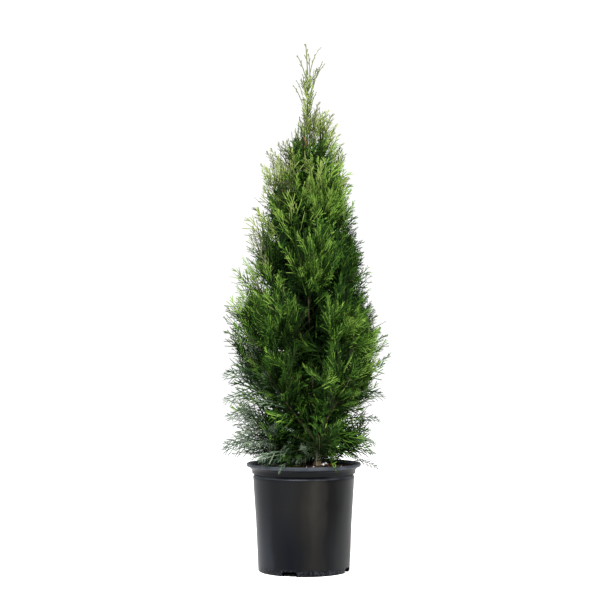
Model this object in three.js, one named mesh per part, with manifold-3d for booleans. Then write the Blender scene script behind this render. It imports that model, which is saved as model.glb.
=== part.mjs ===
// A young columnar thuja in a black nursery pot.
//
// Units are millimetres and +Z is up. The origin is the centre of the pot's flat underside, and the
// plant's front faces -Y. The pot is filled with soil, a single leaning trunk stands on the soil, and
// boughs climb from the trunk in tiers. Each bough carries one mass of foliage: a stem that grows on from
// the bough's end, a core of dense growth round it, and twigs that end in flat toothed sprays.
//
// Every mass keeps to its own cell of the crown. A cell is the wedge of one heading between two cones
// round the trunk, so neighbouring masses never meet.
import * as THREE from "three";
import { mergeVertices } from "three/addons/utils/BufferGeometryUtils.js";
import Module from "manifold-3d";

const wasm = await Module();
wasm.setup();

// ---------------------------------------------------------------- driving dimensions

const GAP = 0.3; // clear space between two pieces that meet
const STEM_GAP = 0.33; // the same along a limb, whose parts are not cut quite square to it
const CLEAR = 1.6; // clear space between a mass and the walls of its cell

const POT = {
  height: 211,
  rimRadius: 112.8,
  collarRadius: 102.2,
  shoulderRadius: 99.6, // the body, just under the collar
  baseRadius: 90,
  toe: 3, // the bevel round the foot, inwards and upwards
  toeHeight: 2.5,
  collarHeight: 19.5,
  collarStep: 1.5, // the height of the ledge under the collar
  collarFlare: 1, // how much wider the collar is at its top
  lip: 4,
  lipRoot: 9, // how far under the lip its flare starts
  lipEdge: 1.5, // the rounding of the lip's two edges
  mouth: 3.2, // how much narrower the mouth is than the rim
  wall: 2.2,
  floor: 3,
  sides: 36,
};
// The slots' middles stand at a share of half their height, so that they cut the floor's edge too.
const DRAIN = { count: 4, width: 31, height: 11, reach: 14, firstHeading: -108, rise: 0.7 };
const SOIL = { level: 206, edgeLevel: 201, flatRadius: 44, sides: 24 };

const TRUNK = {
  foot: SOIL.level + GAP,
  tip: 884,
  radius: 5.2,
  tipRadius: 1.3,
  flare: 3.2,
  flareHeight: 12,
  footLean: 27, // how far right of the pot's centre the trunk starts
  tipLean: 8,
  bow: 5,
  taper: 0.85, // below 1 the trunk keeps its girth low down and narrows late
  sides: 8,
  rings: 12,
  crowding: 1.6, // above 1 the rings lie closer together towards the flare
};

// The crown's outline: [height, reach to the left, reach to the right] of the pot's centre.
const CROWN = [
  [190, 128, 146],
  [240, 148, 142],
  [300, 152, 152],
  [380, 167, 155],
  [460, 154, 163],
  [540, 143, 134],
  [620, 128, 112],
  [710, 107, 102],
  [800, 80, 88],
  [845, 62, 70],
  [880, 20, 60],
  [915, 10, 50],
  [935, 12, 28],
  [990, 12, 34],
  [1046, 8, 24],
];

// Each tier lies over a cone round the trunk that starts at height foot and rises by slope outwards.
// The first of its masses has the given heading in degrees, and the others share out the full turn.
const TIERS = [
  { name: "skirt", foot: 216, slope: 0, masses: 5, heading: -84 },
  { name: "low", foot: 238, slope: 0.72, masses: 5, heading: -58 },
  { name: "middle", foot: 300, slope: 1.15, masses: 5, heading: -48 },
  { name: "high", foot: 395, slope: 1.6, masses: 5, heading: -90 },
  { name: "upper", foot: 515, slope: 2.1, masses: 4, heading: -50 },
  { name: "shoulder", foot: 640, slope: 3, masses: 4, heading: -8 },
  { name: "leader", foot: 775, slope: 6, masses: 1, heading: 90 },
];
const LEADER = TIERS.length - 1;
const DROOP = 188; // how low the skirt may hang outside the pot's rim

// A limb starts at one share of its tier's height and ends at another, a little to one side.
const LIMB = { start: 0.3, leastLift: 0.5, mostLift: 0.62, sway: 0.3, reach: 0.97 };
const BOUGH = { radius: 2.6, upperRadius: 1.7, endShare: 0.25, sides: 5, segments: 2 };
const STEM = { radius: 1.6, tipRadius: 0.8, endShare: 0.84, sides: 3, segments: 2 };
const TWIG = {
  radius: 1.2,
  perMass: 9,
  sunk: 6,
  lowest: 0.1, // the tips' places as shares of the tier's height
  lowestInSkirt: -0.14,
  highest: 0.92,
  across: 0.8, // and of the cell's width
  leastReach: 0.93, // and of the way out to the crown's outline
  mostReach: 1,
  step: 0.618, // how far across one tip is from the last
  chance: 0.2, // and how much of a step is chance
  lowestFoot: 0.1, // where twigs leave the stem, as shares of its length
  highestFoot: 0.75,
};
const LEADER_TWIG = {
  count: 9,
  turn: 2.4, // how far round each is from the last
  out: 0.6,
  climb: 0.3, // how much of the stem each climbs past
  lowestFoot: 0.02,
  lowest: 0.2, // the tips' places up the stem, as shares of its length
  step: 0.1,
  highest: 0.99,
};
const LEADER_TOP = 1043; // where the leader's stem ends, just under the crown's top
const SPRAY = {
  length: 66,
  width: 44,
  rim: 10, // foot, teeth, tip and the notches between them
  notch: 0.5,
  forward: 0.14,
  thickness: 0.018,
  least: 0.4, // the smallest share of its length that a spray may shrink to
  shrink: 0.94,
  upturn: 0.9,
  turn: 2,
};

// A mass's core fills these shares of its cell: outwards from the trunk, across and upwards.
const CORE = { inner: 0.28, outer: 0.84, across: 0.88, margin: 0.08, fullness: 0.5, roughness: 0.14 };

// Every random choice comes from one of these seeds.
const SEED = { cells: 7, leader: 5, massStep: 977, massStart: 13 };

// A direction whose level part is shorter than this counts as upright.
const UPRIGHT = 0.02;
// Where a spray's edges and its twig are tested against the cell, as shares of their lengths.
const EDGE_TESTS = [0, 0.25, 0.5, 0.75];
const TWIG_TESTS = [0.5, 0.7, 0.9];

// ---------------------------------------------------------------- small helpers

const radians = THREE.MathUtils.degToRad;
const mix = THREE.MathUtils.lerp;
const vector = (x, y, z) => new THREE.Vector3(x, y, z);

// The row of a table at a height between its rows, whose first column is height.
function rowAt(rows, height) {
  const next = Math.max(1, rows.findIndex((row) => row[0] >= height));
  const [low, high] = [rows[next - 1], rows[next]];
  return low.map((value, column) => mix(value, high[column], (height - low[0]) / (high[0] - low[0])));
}

// A repeatable stream of numbers from 0 to 1 for one seed.
function randomStream(seed) {
  let state = seed >>> 0;
  return () => {
    state = (Math.imul(state, 1664525) + 1013904223) >>> 0;
    return state / 4294967296;
  };
}

// The same geometry with only its positions, each corner held once.
function bare(geometry) {
  const copy = geometry.clone();
  copy.deleteAttribute("normal");
  copy.deleteAttribute("uv");
  return mergeVertices(copy);
}

// A closed geometry as a solid that can be joined and cut.
function solidOf(geometry) {
  const merged = bare(geometry);
  return new wasm.Manifold(
    new wasm.Mesh({
      numProp: 3,
      vertProperties: Float32Array.from(merged.attributes.position.array),
      triVerts: Uint32Array.from(merged.index.array),
    }),
  );
}

function geometryOf(solid) {
  const mesh = solid.getMesh();
  const geometry = new THREE.BufferGeometry();
  geometry.setAttribute("position", new THREE.BufferAttribute(mesh.vertProperties, 3));
  geometry.setIndex(new THREE.BufferAttribute(mesh.triVerts, 1));
  geometry.computeVertexNormals();
  return geometry;
}

// The joined solid's largest body, so that a loose scrap is dropped.
function joined(solids) {
  const bodies = solids.reduce((whole, next) => whole.add(next)).decompose();
  return bodies.reduce((a, b) => (a.volume() > b.volume() ? a : b));
}

// A tapering limb: a cylinder whose rings are moved along a path. pointAt and radiusAt take 0 to 1.
function limb(pointAt, radiusAt, sides, segments) {
  const geometry = new THREE.CylinderGeometry(1, 1, 1, sides, segments);
  const position = geometry.attributes.position;
  const step = 1e-3;
  for (let i = 0; i < position.count; i += 1) {
    const share = position.getY(i) + 0.5;
    const centre = pointAt(share);
    const ahead = pointAt(Math.min(1, share + step));
    const behind = pointAt(Math.max(0, share - step));
    const along = ahead.sub(behind).normalize();
    const across = vector(0, 0, 1).cross(along);
    if (across.length() < UPRIGHT) across.set(1, 0, 0);
    across.normalize();
    const other = across.clone().cross(along);
    const radius = radiusAt(share);
    centre.addScaledVector(across, position.getX(i) * radius);
    centre.addScaledVector(other, position.getZ(i) * radius);
    position.setXYZ(i, centre.x, centre.y, centre.z);
  }
  return geometry;
}

// ---------------------------------------------------------------- pot and soil

const collarFoot = POT.height - POT.collarHeight;

// The pot's inside from the floor up to its mouth: [height, radius].
const POT_INSIDE = [
  [POT.floor, POT.baseRadius - POT.wall],
  [collarFoot - POT.collarStep, POT.shoulderRadius - POT.wall],
  [collarFoot + POT.collarStep, POT.collarRadius - POT.wall],
  [POT.height - POT.lip - POT.lipRoot, POT.collarRadius + POT.collarFlare - POT.wall],
  [POT.height, POT.rimRadius - POT.mouth],
];

// The outside from the foot up: a tapering body, a collar that stands a little proud, and a rolled lip.
const POT_OUTSIDE = [
  [0, POT.baseRadius - POT.toe],
  [POT.toeHeight, POT.baseRadius],
  [collarFoot - POT.collarStep, POT.shoulderRadius],
  [collarFoot, POT.collarRadius],
  [POT.height - POT.lip - POT.lipRoot, POT.collarRadius + POT.collarFlare],
  [POT.height - POT.lip, POT.rimRadius - POT.lipEdge],
  [POT.height - POT.lip + POT.lipEdge, POT.rimRadius],
  [POT.height - POT.lipEdge, POT.rimRadius],
  [POT.height, POT.rimRadius - POT.lipEdge],
];

// A solid of revolution from rows of [height, radius].
function turned(rows, sides) {
  const profile = rows.map(([height, radius]) => new THREE.Vector2(radius, height));
  return new THREE.LatheGeometry(profile, sides).rotateX(Math.PI / 2);
}

function potShell() {
  const rows = [[0, 0], ...POT_OUTSIDE, ...POT_INSIDE.toReversed(), [POT.floor, 0]];
  return solidOf(turned(rows, POT.sides));
}

// One drain slot: a bar with round ends that crosses the corner between the wall and the floor.
function drainSlot(heading) {
  const half = DRAIN.height / 2;
  const straight = DRAIN.width / 2 - half;
  const outline = new THREE.Shape();
  outline.absarc(straight, 0, half, -Math.PI / 2, Math.PI / 2);
  outline.absarc(-straight, 0, half, Math.PI / 2, (Math.PI * 3) / 2);
  const bar = new THREE.ExtrudeGeometry(outline, {
    depth: DRAIN.reach * 2,
    bevelEnabled: false,
    curveSegments: 3,
  });
  bar.rotateX(Math.PI / 2);
  bar.translate(0, DRAIN.reach - POT.baseRadius, half * DRAIN.rise);
  bar.rotateZ(heading + Math.PI / 2);
  return solidOf(bar);
}

function makePot() {
  let pot = potShell();
  for (let i = 0; i < DRAIN.count; i += 1) {
    const heading = radians(DRAIN.firstHeading) + (i / DRAIN.count) * Math.PI * 2;
    pot = pot.subtract(drainSlot(heading));
  }
  return geometryOf(pot);
}

// The soil fills the pot to just under the rim, with a flat top round the trunk.
function makeSoil() {
  const inset = 3 * GAP;
  const sides = POT_INSIDE.filter(([height]) => height < SOIL.edgeLevel).map(([z, r]) => [z, r - inset]);
  const foot = sides[0][1];
  const edge = rowAt(POT_INSIDE, SOIL.edgeLevel)[1] - inset;
  const rows = [
    [POT.floor + GAP, 0],
    [POT.floor + GAP, foot],
    ...sides.slice(1),
    [SOIL.edgeLevel, edge],
    [SOIL.level, SOIL.flatRadius],
    [SOIL.level, 0],
  ];
  return turned(rows, SOIL.sides);
}

// ---------------------------------------------------------------- trunk

function trunkAxis(z) {
  const t = (z - TRUNK.foot) / (TRUNK.tip - TRUNK.foot);
  const x = TRUNK.footLean * (1 - t) ** 2 + TRUNK.tipLean * t * t;
  return vector(x, -TRUNK.bow * Math.sin(Math.PI * Math.min(t, 1)), z);
}

function trunkRadius(z) {
  const t = (z - TRUNK.foot) / (TRUNK.tip - TRUNK.foot);
  if (t > 1) return 0;
  const flare = TRUNK.flare * Math.exp(-(z - TRUNK.foot) / TRUNK.flareHeight);
  return mix(TRUNK.radius, TRUNK.tipRadius, Math.max(t, 0) ** TRUNK.taper) + flare;
}

// The trunk, or the same form grown by some extra radius to cut its neighbours clear of it. Its rings are
// level, so it stands on a flat cut, and they lie closer together towards the flare.
function trunkForm(extra = 0) {
  const trunk = new THREE.CylinderGeometry(1, 1, 1, TRUNK.sides, TRUNK.rings).rotateX(Math.PI / 2);
  const position = trunk.attributes.position;
  for (let i = 0; i < position.count; i += 1) {
    const z = mix(TRUNK.foot, TRUNK.tip, (position.getZ(i) + 0.5) ** TRUNK.crowding);
    const axis = trunkAxis(z);
    const radius = trunkRadius(z) + extra;
    position.setXYZ(i, axis.x + radius * position.getX(i), axis.y + radius * position.getY(i), z);
  }
  return trunk;
}

// ---------------------------------------------------------------- cells of the crown

// The crown's middle and radius at a height.
function crownAt(z) {
  if (z < CROWN[0][0] || z > CROWN.at(-1)[0]) return { middle: 0, radius: 0 };
  const [, left, right] = rowAt(CROWN, z);
  return { middle: (right - left) / 2, radius: (left + right) / 2 };
}

function insideCrown(p) {
  const { middle, radius } = crownAt(p.z);
  return Math.hypot(p.x - middle, p.y) < radius;
}

const tierFloor = (tier, r) => TIERS[tier].foot + TIERS[tier].slope * r;

// A point at radius r and a heading from the trunk, some share of the way from a tier's floor to its roof.
function tierPoint(tier, r, heading, share) {
  const z = mix(tierFloor(tier, r), tierFloor(tier + 1, r), share);
  const axis = trunkAxis(z);
  return vector(axis.x + r * Math.cos(heading), axis.y + r * Math.sin(heading), z);
}

// The radius at which that line leaves the crown.
function tierReach(tier, heading, share) {
  let r = 0;
  while (insideCrown(tierPoint(tier, r, heading, share))) r += 1;
  return r;
}

function makeCells() {
  const random = randomStream(SEED.cells);
  const cells = [];
  TIERS.slice(0, LEADER).forEach(({ name, masses, heading }, tier) => {
    for (let i = 0; i < masses; i += 1) {
      const cell = {
        tier,
        name: `${name}_${i + 1}`,
        heading: radians(heading) + (i / masses) * Math.PI * 2,
        halfAngle: Math.PI / masses,
        sway: (random() - 0.5) * LIMB.sway,
        lift: mix(LIMB.leastLift, LIMB.mostLift, random()),
        seed: 100 * tier + i + 1,
      };
      cell.reach = tierReach(tier, cell.heading + cell.sway, cell.lift) * LIMB.reach;
      cells.push(cell);
    }
  });
  return cells;
}

// A point in a cell by shares: outwards to the crown's outline, across to its walls, and up to its roof.
function cellPoint(cell, outward, across, share) {
  const heading = cell.heading + across * cell.halfAngle;
  const r = tierReach(cell.tier, heading, share) * outward;
  return tierPoint(cell.tier, r, heading, share);
}

// A limb climbs out along its cell, slowly at first and then more steeply.
const limbShare = (cell, outward) => mix(LIMB.start, cell.lift, outward * outward);

function limbPoint(cell, outward) {
  const heading = cell.heading + cell.sway * outward * outward;
  return tierPoint(cell.tier, cell.reach * outward, heading, limbShare(cell, outward));
}

// Only the skirt hangs below its tier's floor, outside the pot's rim.
function aboveFloor(cell, p, r) {
  if (cell.tier > 0) return p.z > tierFloor(cell.tier, r) + CLEAR;
  return p.z > TIERS[0].foot || (p.z > DROOP && Math.hypot(p.x, p.y) > POT.rimRadius + 2 * CLEAR);
}

function inCell(cell, p) {
  const axis = trunkAxis(p.z);
  const r = Math.hypot(p.x - axis.x, p.y - axis.y);
  if (!insideCrown(p) || !aboveFloor(cell, p, r)) return false;
  if (cell.tier === LEADER) return p.z > TRUNK.tip + GAP;
  const turn = Math.atan2(p.y - axis.y, p.x - axis.x) - cell.heading;
  const off = Math.abs(Math.atan2(Math.sin(turn), Math.cos(turn)));
  const belowRoof = p.z < tierFloor(cell.tier + 1, r) - CLEAR;
  const offTrunk = r > trunkRadius(p.z) + CLEAR;
  const betweenWalls = r * Math.sin(Math.min(cell.halfAngle - off, Math.PI / 2)) > CLEAR;
  return belowRoof && offTrunk && betweenWalls && clearOfBough(cell, p);
}

function clearOfBough(cell, p) {
  const steps = 6;
  for (let i = 0; i < steps; i += 1) {
    const spot = limbPoint(cell, (BOUGH.endShare * i) / steps);
    if (spot.distanceTo(p) < BOUGH.radius + CLEAR) return false;
  }
  return true;
}

// True if the corners, edges and face middles of a geometry all lie in the cell.
function fits(cell, geometry) {
  const position = geometry.toNonIndexed().attributes.position;
  for (let i = 0; i < position.count; i += 3) {
    const [a, b, c] = [0, 1, 2].map((k) => vector().fromBufferAttribute(position, i + k));
    const middle = a.clone().add(b).add(c).divideScalar(3);
    const edges = EDGE_TESTS.flatMap((share) => [a.clone().lerp(b, share), b.clone().lerp(c, share)]);
    if (![middle, ...edges].every((p) => inCell(cell, p))) return false;
  }
  return true;
}

// ---------------------------------------------------------------- boughs

function makeBough(cell, trunkSpace) {
  const root = mix(BOUGH.radius, BOUGH.upperRadius, cell.tier / LEADER);
  const bough = limb(
    (share) => limbPoint(cell, BOUGH.endShare * share),
    (share) => mix(root, STEM.radius, share),
    BOUGH.sides,
    BOUGH.segments,
  );
  return geometryOf(solidOf(bough).subtract(trunkSpace));
}

// ---------------------------------------------------------------- foliage

// A flat spray of scale-leaved twiglets as one toothed blade. It is a sphere pressed flat whose equator is
// drawn out into a foot, side teeth that point forwards, and a tip. The foot is at the origin, the blade
// points along +Y and its faces look along Z.
function sprayBlade(length) {
  const blade = new THREE.SphereGeometry(1, SPRAY.rim, 2);
  const position = blade.attributes.position;
  const half = length / 2;
  for (let i = 0; i < position.count; i += 1) {
    const pole = Math.round(position.getY(i));
    const turn = Math.atan2(position.getZ(i), position.getX(i));
    const tooth = Math.round((turn * SPRAY.rim) / (2 * Math.PI)) + SPRAY.rim / 2;
    const stretch = tooth % SPRAY.rim === 0 || tooth % 2 === 1 ? 1 : SPRAY.notch;
    const forward = tooth % 2 === 1 ? SPRAY.forward * length * Math.abs(Math.sin(turn)) : 0;
    const spread = pole ? 0 : stretch;
    const x = spread * (SPRAY.width / 2) * (length / SPRAY.length) * Math.sin(turn);
    const y = half + spread * half * Math.cos(turn) + (pole ? 0 : forward);
    position.setXYZ(i, x, y, pole * SPRAY.thickness * length);
  }
  return blade;
}

// Moves a geometry that points along +Y so that it points along a direction. Its Z faces as near to the
// given side as it can.
function aimed(geometry, from, direction, side) {
  const across = direction.clone().cross(side).normalize();
  const facing = across.clone().cross(direction);
  const turn = new THREE.Matrix4().makeBasis(across, direction, facing);
  return geometry.applyMatrix4(turn).translate(from.x, from.y, from.z);
}

// The way a spray's face looks: outwards from the trunk, turned by chance.
function outwardSide(p, random) {
  const axis = trunkAxis(p.z);
  const chance = vector(random() - 0.5, random() - 0.5, random() - 0.5).multiplyScalar(SPRAY.turn);
  return vector(p.x - axis.x, p.y - axis.y, 0).normalize().add(chance);
}

// The mass's core: a rough ball drawn out to fill the middle of its cell, round the stem.
function makeCore(cell, random) {
  const core = bare(new THREE.IcosahedronGeometry(1, 1));
  const position = core.attributes.position;
  for (let i = 0; i < position.count; i += 1) {
    const size = 1 - CORE.roughness * random();
    const [out, across, up] = vector()
      .fromBufferAttribute(position, i)
      .toArray()
      .map((part) => size * Math.sign(part) * Math.abs(part) ** CORE.fullness);
    const outward = mix(CORE.inner, CORE.outer, (out + 1) / 2);
    const centre = limbShare(cell, outward);
    const rise = up > 0 ? 1 - CORE.margin - centre : centre - CORE.margin;
    const spot = cellPoint(cell, outward, CORE.across * across, centre + rise * up);
    position.setXYZ(i, spot.x, spot.y, spot.z);
  }
  return core;
}

// The twigs of a tier's mass, each from its foot on the stem to its tip. The tips are spread over the face
// where the cell meets the crown's outline.
function tierTwigs(cell, stemAt, random) {
  const twigs = [{ from: stemAt(TWIG.highestFoot), to: limbPoint(cell, 1 / LIMB.reach) }];
  const lowest = cell.tier === 0 ? TWIG.lowestInSkirt : TWIG.lowest;
  for (let i = 0; i < TWIG.perMass; i += 1) {
    const across = (((i + random() * TWIG.chance) * TWIG.step) % 1) * 2 - 1;
    const share = mix(lowest, TWIG.highest, (i + random()) / TWIG.perMass);
    const outward = mix(TWIG.leastReach, TWIG.mostReach, random());
    const to = cellPoint(cell, outward, across * TWIG.across, share);
    const away = to.distanceTo(stemAt(1)) / stemAt(1).distanceTo(stemAt(0));
    twigs.push({ from: stemAt(Math.max(TWIG.lowestFoot, TWIG.highestFoot - away * TWIG.highestFoot)), to });
  }
  return twigs;
}

// One mass: a stem and perhaps a core, and twigs with sprays. A twig whose spray would leave the cell at
// every size is skipped.
function makeMass(cell, stemAt, cores, twigs, random) {
  const stem = limb(stemAt, (share) => mix(STEM.radius, STEM.tipRadius, share), STEM.sides, STEM.segments);
  const pieces = [stem, ...cores];
  twigs.forEach(({ from, to }) => {
    const direction = to.clone().sub(from).normalize();
    const upturned = direction.clone().add(vector(0, 0, SPRAY.upturn)).normalize();
    const longest = Math.min(to.distanceTo(from), SPRAY.length);
    for (let size = longest; size > longest * SPRAY.least; size *= SPRAY.shrink) {
      const foot = to.clone().addScaledVector(upturned, -size);
      const blade = aimed(sprayBlade(size), foot, upturned, outwardSide(to, random));
      const twigFits = TWIG_TESTS.every((share) => inCell(cell, from.clone().lerp(foot, share)));
      if (!twigFits || !fits(cell, blade)) continue;
      const along = foot.clone().sub(from).normalize();
      const length = foot.distanceTo(from) + TWIG.sunk;
      const twig = new THREE.ConeGeometry(TWIG.radius, length, 3, 1).translate(0, length / 2, 0);
      pieces.push(blade, aimed(twig, from, along, vector(1, 0, 0)));
      break;
    }
  });
  return geometryOf(joined(pieces.map(solidOf)));
}

function makeTierMass(cell) {
  const random = randomStream(cell.seed * SEED.massStep + SEED.massStart);
  const step = 0.01;
  const pace = limbPoint(cell, BOUGH.endShare + step).distanceTo(limbPoint(cell, BOUGH.endShare)) / step;
  const start = BOUGH.endShare + STEM_GAP / pace;
  const stemAt = (share) => limbPoint(cell, mix(start, STEM.endShare, share));
  return makeMass(cell, stemAt, [makeCore(cell, random)], tierTwigs(cell, stemAt, random), random);
}

// The leader grows straight on from the trunk's tip, with short twigs that climb beside it.
function makeLeader() {
  const random = randomStream(SEED.leader);
  const cell = { tier: LEADER };
  const foot = trunkAxis(TRUNK.tip);
  const stemAt = (share) => foot.clone().setZ(mix(TRUNK.tip + GAP, LEADER_TOP, share));
  const twigs = [];
  for (let i = 0; i < LEADER_TWIG.count; i += 1) {
    const share = Math.min(LEADER_TWIG.lowest + i * LEADER_TWIG.step, LEADER_TWIG.highest);
    const { z } = stemAt(share);
    const { middle, radius } = crownAt(z);
    const heading = i * LEADER_TWIG.turn;
    const out = radius * LEADER_TWIG.out;
    const to = vector(middle + out * Math.cos(heading), out * Math.sin(heading), z);
    twigs.push({ from: stemAt(Math.max(LEADER_TWIG.lowestFoot, share - LEADER_TWIG.climb)), to });
  }
  return makeMass(cell, stemAt, [], twigs, random);
}

// ---------------------------------------------------------------- assembly

const COLOURS = {
  pot: { color: 0x1b1d1f, roughness: 0.42 },
  soil: { color: 0x33241a, roughness: 0.95 },
  bark: { color: 0x6b4a33, roughness: 0.85 },
  foliage: { color: 0x3f6b1f, roughness: 0.6 },
};

function addMesh(group, name, geometry, kind) {
  const mesh = new THREE.Mesh(geometry, new THREE.MeshStandardMaterial({ ...COLOURS[kind], metalness: 0 }));
  mesh.name = name;
  group.add(mesh);
}

const plant = new THREE.Group();
const container = new THREE.Group();
addMesh(container, "pot", makePot(), "pot");
addMesh(container, "soil", makeSoil(), "soil");
addMesh(plant, "trunk", trunkForm(), "bark");

const trunkSpace = solidOf(trunkForm(GAP / Math.cos(Math.PI / TRUNK.sides)));
for (const cell of makeCells()) {
  addMesh(plant, `bough_${cell.name}`, makeBough(cell, trunkSpace), "bark");
  addMesh(plant, `foliage_${cell.name}`, makeTierMass(cell), "foliage");
}

addMesh(plant, "foliage_leader", makeLeader(), "foliage");

const pottedThuja = new THREE.Group();
pottedThuja.add(container, plant);
export default pottedThuja;
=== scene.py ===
# %% [markdown]
# # A potted thuja
#
# This lesson dresses a young columnar thuja that stands in a black nursery pot. The plant is about a metre
# tall. Its trunk leans a little, its boughs climb in tiers, and every bough ends in flat, scaly, fern-like
# sprays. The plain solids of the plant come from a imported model, the frame. Each step below replaces one
# kind of solid with a piece that has the real surface, at the same place and size. Everything is in metres.

# %% Load the frame
import math

import bpy
import numpy as np
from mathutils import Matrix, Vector, noise


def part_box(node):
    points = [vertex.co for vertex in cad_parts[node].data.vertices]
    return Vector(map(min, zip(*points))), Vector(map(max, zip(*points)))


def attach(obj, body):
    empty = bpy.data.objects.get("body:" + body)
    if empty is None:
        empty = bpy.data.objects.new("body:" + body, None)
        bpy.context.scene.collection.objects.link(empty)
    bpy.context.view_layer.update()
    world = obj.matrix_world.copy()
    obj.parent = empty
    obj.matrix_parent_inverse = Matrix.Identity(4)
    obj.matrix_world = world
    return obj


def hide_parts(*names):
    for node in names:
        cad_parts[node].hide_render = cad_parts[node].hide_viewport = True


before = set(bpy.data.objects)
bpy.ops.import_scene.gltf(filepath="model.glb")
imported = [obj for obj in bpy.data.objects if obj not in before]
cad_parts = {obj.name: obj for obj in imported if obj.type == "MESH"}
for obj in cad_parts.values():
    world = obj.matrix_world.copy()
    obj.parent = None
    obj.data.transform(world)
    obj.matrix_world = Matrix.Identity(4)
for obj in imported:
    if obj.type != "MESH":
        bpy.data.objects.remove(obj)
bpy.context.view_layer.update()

# %% [markdown]
# ## Camera
#
# The plant is seen from the front, from a little above the rim of its pot, so that the mouth of the pot is a
# thin ellipse and its foot a rounder one. A short distance gives that difference. A track-to constraint
# would aim the camera too, but turning the direction into a rotation leaves nothing behind in the file.

# %% The camera
CAMERA_PLACE = Vector((-0.0074, -2.8, 0.438))
CAMERA_AIM = Vector((-0.0074, 0, 0.533))
VIEW_HEIGHT = 1.19

camera_data = bpy.data.cameras.new("camera")
camera_data.angle = 2 * math.atan(VIEW_HEIGHT / 2 / abs(CAMERA_PLACE.y))
camera = bpy.data.objects.new("camera", camera_data)
camera.location = CAMERA_PLACE
camera.rotation_euler = (CAMERA_AIM - CAMERA_PLACE).to_track_quat("-Z", "Y").to_euler()
bpy.context.scene.collection.objects.link(camera)
bpy.context.scene.camera = camera
print("camera angle:", round(math.degrees(camera_data.angle), 1), "degrees")

# %% [markdown]
# ## Floor and light
#
# Foliage shows best in light that comes from everywhere: the gaps between the sprays then darken by
# themselves. A white world gives that light. A broad lamp on the left gives the crown a bright side, and a
# weaker one on the right keeps the other side open.
# The floor is plain and almost white. The standard view keeps white paper white.

# %% The floor and the lights
FLOOR_SIZE = 12
WORLD_STRENGTH = 1.05


def lamp(name, place, aim, size, power):
    """A square soft lamp that looks at a point."""
    data = bpy.data.lights.new(name, "AREA")
    data.size = size
    data.energy = power
    light = bpy.data.objects.new(name, data)
    light.location = place
    light.rotation_euler = (Vector(aim) - Vector(place)).to_track_quat("-Z", "Y").to_euler()
    bpy.context.scene.collection.objects.link(light)
    return light


def plain_material(name, colour, roughness, specular=0.5):
    """A material of one colour. Returns it and its shader, so that a pattern can be linked in."""
    material = bpy.data.materials.new(name)
    material.use_nodes = True
    shader = material.node_tree.nodes["Principled BSDF"]
    shader.inputs["Base Color"].default_value = (*colour, 1)
    shader.inputs["Roughness"].default_value = roughness
    shader.inputs["Specular IOR Level"].default_value = specular
    return material, shader


def piece_from(name, verts, faces, materials, kinds=None):
    """A mesh object from arrays. kinds gives each face its material's number."""
    mesh = bpy.data.meshes.new(name)
    mesh.from_pydata(verts, [], faces)
    for material in materials:
        mesh.materials.append(material)
    if kinds is not None:
        mesh.polygons.foreach_set("material_index", np.asarray(kinds, np.int32))
    piece = bpy.data.objects.new(name, mesh)
    bpy.context.scene.collection.objects.link(piece)
    return piece


world = bpy.data.worlds.new("world")
bpy.context.scene.world = world
world.use_nodes = True
world.node_tree.nodes["Background"].inputs["Color"].default_value = (1, 1, 1, 1)
world.node_tree.nodes["Background"].inputs["Strength"].default_value = WORLD_STRENGTH

half = FLOOR_SIZE / 2
corners = [(-half, -half, 0), (half, -half, 0), (half, half, 0), (-half, half, 0)]
floor_paper, _ = plain_material("floor_paper", (0.95, 0.95, 0.95), 0.9, 0.0)
floor = piece_from("floor", corners, [(0, 1, 2, 3)], [floor_paper])
lamp("key", (-1.0, -1.8, 2.9), (0, 0, 0.5), 1.0, 260)
lamp("fill", (1.9, -1.7, 2.0), (0, 0, 0.5), 1.0, 90)
bpy.context.scene.view_settings.view_transform = "Standard"
print("floor", FLOOR_SIZE, "m wide, world strength", WORLD_STRENGTH)

# %% [markdown]
# ## Shells
#
# The pot, the soil, the trunk and every twig are rings of points stacked along a line. One helper closes a
# stack of rings into a mesh. A second one turns a profile round the upright axis, as a lathe does, and a
# third one sweeps a round section along a bent line. Blender's screw modifier and bevelled curves could do
# the same, but arrays are quick, and they let each ring carry its own bumps.


# %% Stacks of rings
def shell(rings, first, last):
    """Closes a stack of rings with a point at each end. Returns points and triangles."""
    count, sides, _ = rings.shape
    here = np.arange(sides)
    beside = (here + 1) % sides
    row = (np.arange(count - 1) * sides)[:, None]
    corner = [row + here, row + beside, row + beside + sides, row + here + sides]
    halves = ((0, 1, 2), (0, 2, 3))
    walls = np.concatenate([np.stack([corner[i] for i in half], -1) for half in halves])
    end = (count - 1) * sides
    foot = np.stack([beside, here, np.full(sides, count * sides)], -1)
    head = np.stack([end + here, end + beside, np.full(sides, count * sides + 1)], -1)
    points = np.vstack([rings.reshape(-1, 3), first, last])
    return points, np.concatenate([walls.reshape(-1, 3), foot, head])


def turned_rings(rows, sides):
    """The rings of a profile, given as rows of (height, radius)."""
    heights, radii = np.array(rows, float).T
    turn = np.arange(sides) / sides * 2 * np.pi
    flat = np.stack([np.cos(turn), np.sin(turn), np.zeros(sides)], -1)
    return radii[:, None, None] * flat + heights[:, None, None] * np.array([0, 0, 1.0])


def unit(vectors):
    """The same directions with length one."""
    vectors = np.asarray(vectors, float)
    return vectors / np.maximum(np.linalg.norm(vectors, axis=-1, keepdims=True), 1e-9)


def swept_rings(points, radii, sides):
    """The rings of a round limb along a line of points."""
    along = unit(np.gradient(points, axis=0))
    upright = abs(along[:, 2].mean()) > 0.8
    across = unit(np.cross(along, [1, 0, 0] if upright else [0, 0, 1]))
    other = np.cross(along, across)
    turn = np.arange(sides) / sides * 2 * np.pi
    out = np.cos(turn)[None, :, None] * across[:, None] + np.sin(turn)[None, :, None] * other[:, None]
    return points[:, None] + np.asarray(radii)[:, None, None] * out


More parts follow.
